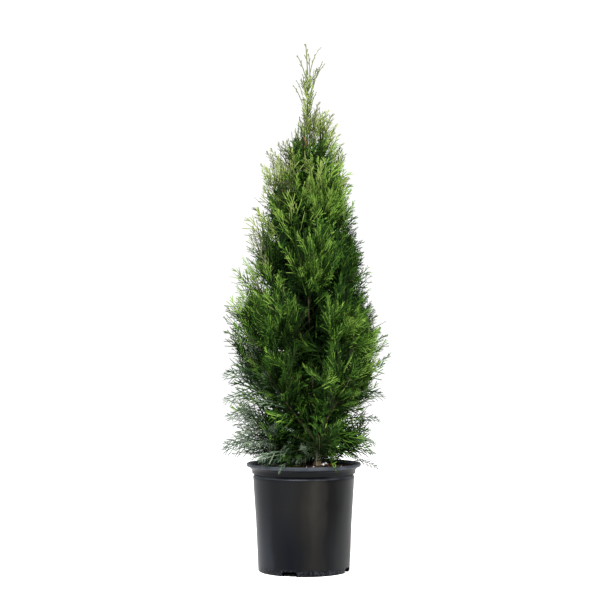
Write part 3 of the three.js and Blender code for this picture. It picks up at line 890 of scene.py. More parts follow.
# %% [markdown]
# ## The boughs
#
# One limb climbs out through each cell, thick at the trunk and thin where it enters its mass. It is swept on
# to where its finest twigs begin, so that a bough grows on without a joint. Blender's curves with a bevel
# would give the same tubes, but without the bark's relief.

# %% The boughs
BOUGH_RADIUS = 0.0026
UPPER_BOUGH_RADIUS = 0.0017
BOUGH_END = 0.25
STEM_RADIUS = 0.0013
STEM_TIP_RADIUS = 0.0006
STEM_END = 0.84
BOUGH_SIDES = 9
BOUGH_RINGS = 26

boughs = Basket()
for cell in cells:
    outward = np.linspace(0, STEM_END, BOUGH_RINGS)
    root = mix(BOUGH_RADIUS, UPPER_BOUGH_RADIUS, cell.tier / LEADER)
    radii = np.interp(outward, [0, BOUGH_END, STEM_END], [root, STEM_RADIUS, STEM_TIP_RADIUS])
    line = cell.limb(outward)
    rings = roughened(swept_rings(line, radii, BOUGH_SIDES), line, BARK_DEPTH)
    boughs.add(*shell(rings, line[0], line[-1]), 0)
bough_piece = boughs.piece("bough_bark", [bough_bark])
smooth(bough_piece, 60)
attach(bough_piece, "root")
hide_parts(*[f"bough_{cell.name}" for cell in cells])
print("boughs:", len(bough_piece.data.polygons), "faces")

# %% [markdown]
# ## The sprays
#
# A thuja has no loose leaves. Its twiglets are wrapped in tiny scales, and they branch again and again in
# one plane, left and right by turns, so each spray is a flat fan like a fern. One twiglet is a thin
# blade with a fold in it: two faces are enough at this size. A pattern is one whole spray of a few dozen
# twiglets, one unit long, and every spray on the plant is a pattern that is turned, sized and bent. There
# are fans and ferns for the outside, coarse scraps for the inside, narrow plumes high up, droopers and
# open forks low down and at the edge, and lumps, shoots and thin wisps for the top. A leaf image on a card
# would be cheaper, but its edges and its shadow would be wrong.

# %% One spray's pattern
TWIGLET_FACES = np.array([(0, 1, 2), (0, 2, 3)])
TWIGLET_TAPER = 0.6
TWIGLET_FOLD = 0.4
# how many tones each twiglet's painted light and shade strays by chance
PAINTED_LIGHT_SPREAD = 1.25


def twiglet(foot, tip, width):
    """A thin blade from foot to tip in the XY plane, folded from corner to corner."""
    foot, tip = np.asarray(foot, float), np.asarray(tip, float)
    along = unit(tip - foot)
    across = np.array([along[1], -along[0], 0]) * width / 2
    drop = UP * width * TWIGLET_FOLD
    end = across * TWIGLET_TAPER
    return np.array([foot - across, foot + across - drop, tip + end, tip - end - drop])


def leaning(angle):
    """The direction in the XY plane that leans to the right of +Y by an angle."""
    return np.array([math.sin(angle), math.cos(angle), 0])


class Pattern:
    """One spray, a unit long, along +Y: an axis, laterals by turns, and twiglets on each lateral."""

    def __init__(self, seed, laterals, twiglets, angle, reach, width, hang=0.0, first=0.08):
        rng = self.rng = np.random.default_rng(seed)
        self.parts, self.shades = [], []
        # each twiglet's shade is painted light and shade: the spray's foot darker, its tips lighter, and a
        # random spread
        self.put((0, 0, 0), (0, 0.6, 0), width * 1.1, -2)
        self.put((0, 0.35, 0), (0, 0.85, 0), width, 0)
        self.put((0, 0.6, 0), (0, 1, 0), width, 1)
        for i in range(laterals):
            side = 1 if i % 2 else -1
            y = mix(first, 0.88, (i + rng.uniform(-0.2, 0.2)) / (laterals - 1))
            length = (reach * (1 - y) ** 0.8 + 0.1) * rng.uniform(0.85, 1.15)
            turn = side * math.radians(angle * rng.uniform(0.85, 1.15))
            foot = np.array([0, y, 0])
            tip = foot + leaning(turn) * length + UP * (-hang * length)
            self.put(foot, tip, width, -1.5 if y < 0.4 else 0)
            for k in range(twiglets):
                share = mix(0.28, 0.8, k / max(twiglets - 1, 1)) + rng.uniform(-0.05, 0.05)
                lean = turn + side * (1 if k % 2 else -1) * math.radians(angle * rng.uniform(0.6, 0.95))
                start = mix(foot, tip, share)
                end = start + leaning(lean) * (0.5 * (1 - share) * length + 0.075) * rng.uniform(0.85, 1.2)
                self.put(start, end - UP * hang * 0.05, width * 0.95, 0 if y < 0.3 else 1)
        self.points = np.concatenate(self.parts)
        self.faces = np.concatenate([TWIGLET_FACES + 4 * i for i in range(len(self.parts))])
        self.shade = np.repeat(self.shades, len(TWIGLET_FACES))

    def put(self, foot, tip, width, shade):
        self.parts.append(twiglet(foot, tip, width))
        self.shades.append(shade + self.rng.normal(0, PAINTED_LIGHT_SPREAD))


# kind: patterns, first seed, laterals, twiglets on each, angle in degrees, reach, width, and what else
KINDS = {
    "fan": (4, 20, 9, 2, 38, 0.5, 0.021),
    "fern": (4, 30, 9, 2, 32, 0.42, 0.021),
    "scrap": (2, 40, 6, 2, 42, 0.45, 0.045),
    "plume": (4, 60, 9, 1, 26, 0.42, 0.022),
    "drooper": (4, 70, 10, 1, 42, 0.4, 0.03, 0.35),
    "lump": (2, 80, 7, 1, 28, 0.38, 0.042),
    "shoot": (4, 90, 8, 1, 30, 0.32, 0.03),
    "fork": (4, 100, 5, 1, 36, 0.55, 0.028, 0.0, 0.3),
    "wisp": (3, 50, 3, 0, 24, 0.12, 0.045, 0.0, 0.5),
}
PATTERNS = []
FIRST = {}
for kind, (number, seed, *shape) in KINDS.items():
    FIRST[kind] = len(PATTERNS)
    PATTERNS += [Pattern(seed + i, *shape) for i in range(number)]


def pick(rng, kind):
    """The number of one pattern of a kind, by chance."""
    return FIRST[kind] + rng.integers(KINDS[kind][0])


print("patterns:", {kind: len(PATTERNS[first].faces) for kind, first in FIRST.items()}, "faces")

# %% [markdown]
# ## Foliage colours
#
# New growth at the top is pale yellow-green, old growth inside is nearly black-green, darkened further as
# painted shade, and the shaded sprays low on the left look bluish. High on the left and at the top most are
# olive or golden, and a few anywhere are brownish. These tints have a place, so they are plain colours, and
# each spray is dealt one of them. Its twiglets then differ by a tone or two of painted light and shade,
# darker at the spray's foot and lighter at its tips, but only within the family of that colour.

# %% Foliage materials
# seven greens from dark to light, three blues, brown, grey, four olives from dark to pale gold, one dried
GREENS = [
    (0.0021, 0.0070, 0.0010),
    (0.0042, 0.0138, 0.0019),
    (0.0086, 0.0262, 0.0034),
    (0.0172, 0.0465, 0.0058),
    (0.0342, 0.0800, 0.0092),
    (0.0650, 0.1300, 0.0165),
    (0.1240, 0.2010, 0.0340),
    (0.0125, 0.0250, 0.0145),
    (0.0390, 0.0620, 0.0390),
    (0.0880, 0.1150, 0.0760),
    (0.0330, 0.0400, 0.0170),
    (0.0850, 0.0960, 0.0480),
    (0.0210, 0.0330, 0.0048),
    (0.0490, 0.0720, 0.0120),
    (0.1040, 0.1410, 0.0300),
    (0.1600, 0.1970, 0.0600),
    (0.1650, 0.0920, 0.0430),
]
BRIGHTEST = 6
FIRST_BLUE = 7
LAST_BLUE = 9
BROWN = 10
GREY = 11
FIRST_OLIVE = 12
GOLD = 14
LAST_OLIVE = 15
DRY = 16
# how many of the colours in turn, and the first and last colour that each of them may be shaded to
SHADED_TO = [(7, 0, 6), (3, 7, 9), (1, 10, 10), (1, 11, 11), (2, 12, 15), (2, 13, 15), (1, 16, 16)]
FAMILY = np.array([(first, last) for number, first, last in SHADED_TO for _ in range(number)])

foliage_greens = [plain_material(f"foliage_{i + 1}", c, 0.6, 0.03)[0] for i, c in enumerate(GREENS)]
# the twigs' tints run from dark olive to dark green
twig_colours = [(0.015, 0.016, 0.006), (0.009, 0.016, 0.004), (0.006, 0.014, 0.003)]
twig_skins = [plain_material(f"twig_{i + 1}", c, 0.7, 0.05)[0] for i, c in enumerate(twig_colours)]


print("foliage:", len(foliage_greens), "greens and", len(twig_skins), "twig tints")

# %% [markdown]
# ## Dealing the colours
#
# A spray's colour follows its place: lighter further out, at the top and just over the pot, and darker on
# the flanks, in front low down, and to the right high up. Darker further in is partly old growth and partly
# painted shade, dark in front low down is painted shade, and darker to the right with lighter on the far left
# is painted light from the left. A share of the sprays is dealt a lighter tone as if in sun and the rest a
# darker one as if shaded, also painted light. Chance adds the rest, because neighbours are never alike.
# A gradient in the material could do this, but it would blend where the plant is speckled.

# %% Dealing the colours
BASE_TONE = 3.1
TONE_SPREAD = 0.45
# painted light: a share of the sprays is dealt a lighter tone as if in sun, the rest a darker one as if in
# shade
SUNNY_SHARE = 0.36
SUNNY_TONE = 0.75
SHADY_TONE = -0.45
# heights, and the tone that they add
TONE_BY_HEIGHT = ([0.2, 0.45, 0.62, 0.75, 0.85], [2.4, 0.5, 0.4, 2.6, 4.4])
# heights, and how much the tone changes from the trunk to the outline: darker inside is partly old growth and
# partly painted shade
TONE_BY_DEPTH = ([0.7, 0.83], [14, 1])
OUTER_SHARE = 0.86
# painted light from the left: above this height a tone falls to the right and rises to the left, and twice as
# fast on the right up to the second height
SIDE_FROM = 0.53
RIGHT_TO = 0.72
SIDE_SLOPE = 15
RIGHT_SLOPE = 30
# the darker flanks: how far out they start, from where to where, and their tones on the left and right
FLANK_FROM = 0.03
FLANK_HEIGHTS = (0.36, 0.53)
FLANK_TONES = (1.2, 0.6)
# low down: the dark front, which is painted shade, and the lighter far left, which is painted light from the
# left
FRONT_TOP = 0.36
FRONT_SPAN = (-0.06, 0.1)
FRONT_DEPTH = 0.03
FRONT_TONE = 1.3
FAR_LEFT = -0.06
FAR_LEFT_TOP = 0.37
FAR_LEFT_TONE = 0.9
BROWN_SHARE = 0.01
# height less place to the right, and the share of olive sprays there
OLIVE_SHARE = ([0.66, 0.76, 0.82], [0, 0.25, 0.92])
# the tone that takes the darkest olive
OLIVE_FROM = 3
# the tone that takes the darkest blue, how many tones one blue spans, and the painted light from the left
# that the far left adds
BLUE_FROM = 1.5
BLUE_SPAN = 1.5
BLUE_LEFT_TONE = 2.0
# the share of bluish sprays in the middle, how fast it falls to the right, and up to where low ones are added
BLUE_MIDDLE = 0.25
BLUE_SLOPE = 4.0
BLUE_RIGHT = 0.03
# heights, and the share of bluish sprays that they add and leave
BLUE_ADDED = ([0.23, 0.34], [0.55, 0])
BLUE_LEFT = ([0.28, 0.35, 0.42, 0.5], [1, 0.35, 0.08, 0])
# heights, and the brightest tone that they allow
BRIGHTEST_BY_HEIGHT = ([0.3, 0.5], [3.4, BRIGHTEST])


def tone_of_place(x, y, z):
    """The tone that a place adds, by its height and by its side of the crown. The side terms are painted
    light from the left, and the dark front low down is painted shade.
    """
    tone = np.interp(z, *TONE_BY_HEIGHT)
    slope = RIGHT_SLOPE if x > 0 and z < RIGHT_TO else SIDE_SLOPE
    to_the_right = slope * x * (z > SIDE_FROM)
    on_flank = abs(x) > FLANK_FROM and FLANK_HEIGHTS[0] < z < FLANK_HEIGHTS[1]
    flank = (FLANK_TONES[0] if x < 0 else FLANK_TONES[1]) * on_flank
    tone -= to_the_right + flank
    tone -= FRONT_TONE * (FRONT_SPAN[0] < x < FRONT_SPAN[1] and y < FRONT_DEPTH and z < FRONT_TOP)
    tone += FAR_LEFT_TONE * (x < FAR_LEFT and z < FAR_LEFT_TOP)
    return tone


def blue_share(x, z):
    """The share of bluish sprays at a place: most low on the left."""
    share = BLUE_MIDDLE - BLUE_SLOPE * x + np.interp(z, *BLUE_ADDED) * (x < BLUE_RIGHT)
    return share * np.interp(z, *BLUE_LEFT)


def deal_colour(rng, tip, tint):
    """A colour for one spray, by where it ends and by chance. tint is what its branch adds to the tone."""
    x, y, z = tip
    out = min(float(outward_share(tip)), 1)
    place = tone_of_place(x, y, z)
    # painted light: the spray is dealt a sunny or a shaded tone
    sunny = SUNNY_TONE if rng.random() < SUNNY_SHARE else SHADY_TONE
    depth = np.interp(z, *TONE_BY_DEPTH) * (out - OUTER_SHARE)
    tone = BASE_TONE + depth + place + tint + sunny + rng.normal(0, TONE_SPREAD)
    if rng.random() < BROWN_SHARE:
        return BROWN
    if rng.random() < np.interp(z - x, *OLIVE_SHARE):
        return int(np.clip(round(tone) - OLIVE_FROM + FIRST_OLIVE, FIRST_OLIVE, LAST_OLIVE))
    if rng.random() < blue_share(x, z):
        step = (tone - BLUE_FROM + BLUE_LEFT_TONE * (x < FAR_LEFT)) / BLUE_SPAN
        return int(np.clip(round(FIRST_BLUE + step), FIRST_BLUE, LAST_BLUE))
    return int(np.clip(round(tone), 0, round(np.interp(z, *BRIGHTEST_BY_HEIGHT))))


deal_rng = np.random.default_rng(0)
for height in (0.25, 0.5, 0.8):
    dealt = [deal_colour(deal_rng, np.array([0.05, -0.1, height]), 0) for _ in range(12)]
    print("twelve sprays dealt at a height of", height, "take the colours", sorted(dealt))

# %% [markdown]
# ## Laying sprays
#
# Thousands of sprays share a few patterns. Each is noted as a foot, a turn, a bend and a colour, and at the
# end all of them are placed at once by arrays. Instances of one object would look the same, but one
# joined mesh exports as it is.

# %% Laying sprays
class Sprays:
    """Sprays that wait to be joined into one mesh."""

    def __init__(self):
        self.rows = [[] for _ in PATTERNS]

    def lay(self, pattern, foot, along, face, length, bend, colour):
        """Puts a pattern at foot, pointing along a direction, with its flat side towards face."""
        across = unit(np.cross(along, face))
        turn = np.stack([across, along, np.cross(across, along)]) * length
        self.rows[pattern].append((foot, turn, bend * length, colour))

    def piece(self, name):
        """Joins all sprays into one mesh."""
        points, faces, kinds, count = [], [], [], 0
        for pattern, rows in zip(PATTERNS, self.rows):
            if not rows:
                continue
            feet, turns, bends, colours = (np.array(column) for column in zip(*rows))
            placed = feet[:, None] + pattern.points @ turns
            placed += (pattern.points[:, 1] ** 2)[None, :, None] * bends[:, None]
            starts = count + np.arange(len(rows)) * len(pattern.points)
            points.append(placed.reshape(-1, 3))
            faces.append((pattern.faces[None] + starts[:, None, None]).reshape(-1, 3))
            # each twiglet's painted light and shade moves the spray's colour within its family
            shaded = np.rint(colours[:, None] + pattern.shade).astype(int)
            first, last = FAMILY[colours].T
            kinds.append(np.clip(shaded, first[:, None], last[:, None]).ravel())
            count += len(rows) * len(pattern.points)
        arrays = [np.concatenate(parts) for parts in (points, faces, kinds)]
        return piece_from(name, arrays[0], arrays[1], foliage_greens, arrays[2])

    def count(self):
        return sum(len(rows) for rows in self.rows)


print("sprays can be laid with", len(PATTERNS), "patterns")

# %% [markdown]
# ## Where growth may go
#
# Sprays keep off the pot's rim, and they part in front, where the trunk shows in a dark gap. Low at both
# sides and high up beside the leader the growth is thin and light comes through. Each of these is a
# small rule about a place. Cutting the finished growth away with a boolean would leave cut twigs.

# %% Where growth may go
# the pot's rim: how far inside it its edge counts, how high growth stays over the edge and inside, where
# the front starts, and how the least height rises to the front
RIM_MARGIN = 0.004
OVER_EDGE = 0.016
OVER_SOIL = 0.003
RIM_FRONT = -0.07
FRONT_RISE = 0.04
# the thin place in front of the leader's foot: its middle, half its width, and its least height
TRUNK_GAP = (0.006, 0.007, 0.812)
PARTING = {"heading": math.radians(-93), "half_angle": math.radians(16), "low": 0.205, "high": 0.55}
TRUNK_VIEW = (0.015, 0.38)
# heights, and how much growth turns upwards there
RISE = ([0.22, 0.32, 0.42, 0.9], [-0.2, 0.35, 0.85, 1.6])
# heights, and the share of the sprays that is left out there
THIN_TOP = ([0.74, 0.83], [0, 0.8])
THIN_LEFT = 0.81
THIN_RIGHT = 0.7
THIN_GAP = 0.95
# heights, and how far to the left the thin side starts there, up to a height
THIN_FROM = ([0.28, 0.35], [-0.06, -0.09])
THIN_LEFT_TOP = 0.37
# the thin side on the right: each starts so far to the right and ends at a height
THIN_STEPS = [(0.055, 0.3), (0.027, 0.26)]


def horizontal_out(p):
    """The level direction from the trunk to a point."""
    return unit((p - trunk_axis(p[2])) * np.array([1, 1, 0]))


def level_across(out):
    """The level direction across a level one."""
    return np.array([-out[1], out[0], 0])


def rise_at(z):
    """How much growth turns upwards: it droops a little low on the plant and climbs near the top."""
    return np.interp(z, *RISE)


def clear_of_pot(p):
    """True above the pot's rim, and higher still outside it at the sides and back, so that the rim shows."""
    over_edge = math.hypot(p[0], p[1]) > RIM - RIM_MARGIN and p[1] > RIM_FRONT
    lowest = OVER_EDGE if over_edge else OVER_SOIL
    return p[2] > POT_HEIGHT + lowest + max(0, -p[1]) * FRONT_RISE


def in_parting(p):
    """True in the dark gap in front, where the trunk shows."""
    off = p - trunk_axis(p[2])
    turn = abs((math.atan2(off[1], off[0]) - PARTING["heading"] + math.pi) % (2 * math.pi) - math.pi)
    before_trunk = off[1] < 0 and abs(off[0]) < TRUNK_VIEW[0] and p[2] < TRUNK_VIEW[1]
    return before_trunk or (turn < PARTING["half_angle"] and PARTING["low"] < p[2] < PARTING["high"])


def in_thin_side(p):
    """True low on the left and right, where the growth is thin and the light comes through."""
    left = p[0] < np.interp(p[2], *THIN_FROM) and p[2] < THIN_LEFT_TOP
    return left or any(p[0] > start and p[2] < top for start, top in THIN_STEPS)


def thinness(p):
    """The share of the sprays that is left out at a place."""
    if in_thin_side(p):
        return THIN_LEFT if p[0] < 0 else THIN_RIGHT
    if abs(p[0] - TRUNK_GAP[0]) < TRUNK_GAP[1] and p[1] < 0 and p[2] > TRUNK_GAP[2]:
        return THIN_GAP
    return np.interp(p[2], *THIN_TOP)


for place in ([-0.12, 0, 0.3], [0, -0.1, 0.4], [0.1, 0, 0.5]):
    print("at", place, "thinness", float(thinness(np.array(place))), "parting", in_parting(np.array(place)))

# %% [markdown]
# ## One spray in its place
#
# A spray that would pass the crown's outline is shortened until it fits, and one that would get too short is
# left out. That gives the crown its true shape with an open, feathery edge. Scaling the whole crown to
# its outline afterwards would squash the sprays.

# %% One spray in its place
SAG = 0.15
SHORTENING = 0.9
SHORTEST = 0.45
PARTING_SHARE = 0.84
BEND_UP = (-0.02, 0.16)
BEND_SPREAD = 0.05
# heights, and how much lighter the inner growth is there
INNER_BY_HEIGHT = ([0.6, 0.8], [0, 2])


def fits(foot, along, length, limit):
    """True if a spray ends inside a share of the outline, and clear of the pot when it sags."""
    inside = outward_share(foot + along * length, OUTLINE) <= limit
    return inside and clear_of_pot(foot + (along - UP * SAG) * length)


def lay_spray(sprays, rng, foot, along, face, length, kind, limit, tint):
    """Lays one spray of a kind if it fits in the crown at a fair length."""
    along = unit(along)
    longest = length
    while not fits(foot, along, length, limit):
        length *= SHORTENING
        if length < longest * SHORTEST:
            return
    tip = foot + along * length
    if (in_parting(tip) or in_parting(mix(foot, tip, 0.5))) and rng.random() < PARTING_SHARE:
        return
    if rng.random() < thinness(tip):
        return
    bend = UP * rng.uniform(*BEND_UP) * rise_at(tip[2]) + rng.normal(0, BEND_SPREAD, 3)
    lighter = (tip[0] > -0.03 and tip[2] < 0.45) + round(np.interp(tip[2], *INNER_BY_HEIGHT))
    # scraps take the darkest greens, partly as painted shade inside the crown, a little lighter right of the
    # middle low down and high up
    inner = rng.integers(3) + lighter
    colour = inner if kind == "scrap" else deal_colour(rng, tip, tint)
    sprays.lay(pick(rng, kind), foot, along, face, length, bend, colour)


print("a spray may shrink to", SHORTEST, "of its length before it is left out")

# %% [markdown]
# ## One branch
#
# A branch carries its sprays left and right by turns, in one plane, as the twiglets of a spray do. Low
# branches leave level and droop at their ends, and high ones turn upwards. The branch itself is a thin
# tube along a bent line. Lowest down most of its sprays are forks, above them fans and ferns, and high up
# narrow plumes. Copies of one finished branch would be quicker to lay, but the eye finds copies at once.

# %% One branch
SPRAYS_PER_BRANCH = 9
SPRAY_LENGTH = (0.04, 0.064)
BRANCH_RADIUS = 0.0008
BRANCH_TIP_RADIUS = 0.0004
BRANCH_POINTS = 7
TWIG_SIDES = 4
# how far out on the branch its first and its last spray lie
SPRAY_SPAN = (0.22, 0.97)
SPRAY_LEAN = (25, 55)
# how far out in the crown a branch's sprays may reach
REACH_LIMIT = (0.76, 0.93)
# heights, and how much less the sprays may reach there on the left
OPEN_LEFT = ([0.45, 0.6, 0.7, 0.8], [0, 0.1, 0.2, 0.24])
# how much more they may reach on the right, and between which heights
FULL_RIGHT = 0.05
FULL_HEIGHTS = (0.42, 0.66)
# how far out the old growth ends, and how the sprays of a thin side point out and lengthen
OLD_SHARE = 0.45
THIN_OUTWARD = 0.8
THIN_LONGER = 1.35
# heights, and how long the sprays are there
SPRAY_SIZE = ([0.2, 0.7, 0.95], [1.0, 0.9, 0.6])
# heights, and the share of forks and of plumes there
FORK_SHARE = ([0.27, 0.32], [0.8, 0])
PLUME_SHARE = ([0.28, 0.34, 0.75], [0.85, 0.1, 0.75])


def add_twig(twigs, line, thick, thin, skin, sides=TWIG_SIDES):
    """A thin limb along a line, from its thick end to its thin one."""
    rings = swept_rings(line, np.linspace(thick, thin, len(line)), sides)
    twigs.add(*shell(rings, line[0], line[-1]), skin)


def branch_line(foot, direction, tip):
    """A bent line from foot to tip that leaves along a direction."""
    reach = np.linalg.norm(tip - foot)
    bend = foot + unit(direction) * reach * 0.5
    share = np.linspace(0, 1, BRANCH_POINTS)[:, None]
    return (1 - share) ** 2 * foot + 2 * share * (1 - share) * bend + share**2 * tip


def kind_at(rng, foot):
    """The kind of pattern that suits a place."""
    if outward_share(foot) < OLD_SHARE:
        return "scrap"
    if in_thin_side(foot):
        return "drooper"
    if rng.random() < np.interp(foot[2], *FORK_SHARE):
        return "fork"
    if rng.random() < np.interp(foot[2], *PLUME_SHARE):
        return "plume"
    return "fan" if rng.random() < 0.5 else "fern"


def grow_branch(sprays, twigs, rng, line):
    """One branch with its sprays left and right, and one spray at its end."""
    add_twig(twigs, line, BRANCH_RADIUS, BRANCH_TIP_RADIUS, rng.integers(len(twig_skins)))
    x, _, z = line[-1]
    out = horizontal_out(line[-1])
    facing = rng.normal(0, 0.75)
    level = level_across(out)
    face = unit(level * math.cos(facing) + out * math.sin(facing) + UP * rng.normal(0, 0.25))
    size = np.interp(z, *SPRAY_SIZE)
    open_left = np.interp(z, *OPEN_LEFT) * (x < 0)
    full_right = FULL_RIGHT * (x > 0 and FULL_HEIGHTS[0] < z < FULL_HEIGHTS[1])
    limit = mix(*REACH_LIMIT, rng.random() ** 2) - open_left + full_right
    tint = rng.normal(0, 0.3)
    for i in range(SPRAYS_PER_BRANCH):
        share = mix(*SPRAY_SPAN, (i + rng.random() * 0.5) / SPRAYS_PER_BRANCH)
        at = share * (len(line) - 1)
        here, beyond = line[int(at)], line[min(int(at) + 1, len(line) - 1)]
        foot = mix(here, beyond, at % 1)
        tangent = unit(beyond - here)
        side = unit(np.cross(tangent, face)) * (1 if i % 2 else -1)
        lean = math.radians(rng.uniform(*SPRAY_LEAN))
        along = tangent * math.cos(lean) + side * math.sin(lean)
        along = along + UP * rise_at(foot[2]) * rng.uniform(0.3, 1.0) + out * 0.15
        length = rng.uniform(*SPRAY_LENGTH) * size
        if in_thin_side(foot):
            along, length = unit(along) + out * THIN_OUTWARD, length * THIN_LONGER
        turned = face + rng.normal(0, 0.5, 3)
        lay_spray(sprays, rng, foot, along, turned, length, kind_at(rng, foot), limit, tint)
    tangent = unit(line[-1] - line[-2]) + UP * rise_at(z) * 0.25
    length = rng.uniform(*SPRAY_LENGTH) * size
    lay_spray(sprays, rng, line[-1], tangent, face, length, kind_at(rng, line[-1]), limit, tint)


print("one branch carries up to", SPRAYS_PER_BRANCH + 1, "sprays")

# %% [markdown]
# ## The masses
#
# From each mass's stem, branches go out to points that are spread over the outer face of its wedge. Old
# growth close to the limb closes the view through the crown; its darkest greens are partly old growth and
# partly painted shade. The points follow the golden ratio, which fills a face evenly. Chance alone would
# leave bare places.

# %% The masses
BRANCHES = 30
INNER_SPRAYS = 50
INNER_LENGTH = (0.06, 0.09)
INNER_LIMIT = 0.7
# how far out on the limb the inner growth and the branches start and end
INNER_SPAN = (0.05, 0.7)
LOWEST_SHARE = 0.03
LOWEST_IN_SKIRT = -0.12
GOLDEN = 0.618
BRANCH_REACH = (0.72, 0.95)


def grow_inner(sprays, rng, stem):
    """Old growth close to the limb, in the darkest greens, which are partly painted shade."""
    for _ in range(INNER_SPRAYS):
        foot = stem[rng.integers(len(stem))]
        along = unit(rng.normal(size=3)) + UP * 0.7
        face = unit(rng.normal(size=3))
        lay_spray(sprays, rng, foot, along, face, rng.uniform(*INNER_LENGTH), "scrap", INNER_LIMIT, 0)


def grow_mass(cell, sprays, twigs):
    """All branches of one mass."""
    rng = np.random.default_rng(1000 + 100 * cell.tier + int(math.degrees(cell.heading)) % 97)
    grow_inner(sprays, rng, cell.limb(np.linspace(*INNER_SPAN, 20)))
    stem = cell.limb(np.linspace(BOUGH_END, STEM_END, 12))
    lowest = LOWEST_IN_SKIRT if cell.tier == 0 else LOWEST_SHARE
    stem_length = np.linalg.norm(stem[-1] - stem[0])
    for i in range(BRANCHES):
        across = ((i * GOLDEN + rng.random() * 0.3) % 1) * 2 - 1
        share = mix(lowest, 0.97, (i + rng.random()) / BRANCHES)
        tip = cell.point(rng.uniform(*BRANCH_REACH), across * 0.97, share)
        away = np.linalg.norm(tip - stem[-1]) / stem_length
        at = int(np.clip(0.8 - 0.75 * away, 0.02, 0.9) * (len(stem) - 1))
        direction = unit(stem[at + 1] - stem[at]) + unit(tip - stem[at]) - UP * 0.35 * rise_at(tip[2])
        grow_branch(sprays, twigs, rng, branch_line(stem[at], direction, tip))


twigs = Basket()
tier_sprays = [Sprays() for _ in TIERS]
for cell in cells:
    grow_mass(cell, tier_sprays[cell.tier], twigs)
print("sprays by tier:", [sprays.count() for sprays in tier_sprays])

# %% [markdown]
# ## The edge
#
# Against the light, a thuja's edge is a row of single sprays with gaps between them. They are set all
# round on a spiral, each on a twig of its own and each ending near the outline. Longer branches would
# reach there too, but in clumps.

# %% The edge
EDGE_SPRAYS = 340
EDGE_HEIGHTS = (0.2, 0.82)
EDGE_REACH = (0.93, 1.03)
EDGE_LENGTH = (0.065, 0.09)
# heights, and how long and how light the edge's sprays are there: they are dealt darker, painted shade of
# sprays seen against the light
EDGE_SIZE = ([0.3, 0.85], [1, 0.85])
EDGE_TINT = ([0.4, 0.6], [-1.7, -1.1])
FORKED_SHARE = 0.6
# brownish sprays: their share, how far to the left they point at least, and from which height
BROWNISH_SHARE = 0.35
BROWNISH_LEFT = -0.6
BROWNISH_FROM = 0.42
SPIRAL_TURN = 2.4
OUTER_TWIG = (0.001, 0.0005)


def spiral_out(i):
    """The level direction of one step on a spiral whose steps never line up."""
    return np.array([math.cos(i * SPIRAL_TURN), math.sin(i * SPIRAL_TURN), 0])


def tier_at(p):
    """The tier that a point lies in."""
    radius = math.hypot(*(p - trunk_axis(p[2]))[:2])
    return max([0] + [tier for tier in range(LEADER) if tier_floor(tier, radius) < p[2]])


def grow_edge(tier_sprays, twigs):
    """Single sprays that stand out from the crown all round, each on a twig of its own."""
    rng = np.random.default_rng(77)
    for i in range(EDGE_SPRAYS):
        z = mix(*EDGE_HEIGHTS, (i + 0.5) / EDGE_SPRAYS)
        middle, radius = crown_at(z, OUTLINE)
        out = spiral_out(i)
        tip = np.array([middle, 0, z]) + out * radius * rng.uniform(*EDGE_REACH)
        level = level_across(out)
        rise = rise_at(z)
        along = unit(out + UP * rise * rng.uniform(0.5, 1) + level * rng.normal(0, 0.3))
        length = rng.uniform(*EDGE_LENGTH) * np.interp(z, *EDGE_SIZE)
        foot = tip - along * length
        if not clear_of_pot(foot) or not clear_of_pot(tip) or in_parting(mix(foot, tip, 0.7)):
            continue
        face = unit(level * rng.normal() + np.cross(out, level) * rng.normal() + out * 0.3)
        upper_kind = "fork" if rng.random() < FORKED_SHARE else "shoot"
        kind = upper_kind if rng.random() < rise + 0.3 else "drooper"
        brownish = rng.random() < BROWNISH_SHARE and out[0] < BROWNISH_LEFT and z > BROWNISH_FROM
        tint = np.interp(z, *EDGE_TINT)
        colour = rng.choice([BROWN, GREY]) if brownish else deal_colour(rng, tip, tint)
        bend = -UP * 0.1 * (rise < 0.3)
        tier_sprays[tier_at(foot)].lay(pick(rng, kind), foot, along, face, length, bend, colour)
        line = branch_line(foot - unit(out + UP * 0.3) * 0.05, along, foot + along * 0.01)
        add_twig(twigs, line, *OUTER_TWIG, 1)


grow_edge(tier_sprays, twigs)
print("with the edge:", [sprays.count() for sprays in tier_sprays])

# %% [markdown]
# ## The skirt
#
# The lowest sprays hang over the soil and down to the rim. They are old and shaded, so they are dark or
# bluish. On the right they are missing, and the soil and the foot of the trunk show. The rule for the
# masses can't fill this part, because it keeps clear of the pot.

# %% The skirt
SKIRT_SPRAYS = 260
SKIRT_REACH = (0.06, 0.118)
SKIRT_HEIGHTS = (-0.002, 0.022)
SKIRT_LENGTH = (0.035, 0.055)
SKIRT_RIGHT = 0.078
SKIRT_LEFT = -0.05
OPEN_FROM = 0.022
OPEN_SHARE = 0.85
LEFT_OUT = 0.3
# shares on the left and elsewhere: bluish sprays, and lighter ones among them
BLUISH = (0.7, 0.45)
LIGHTER_BLUE = (0.8, 0.35)


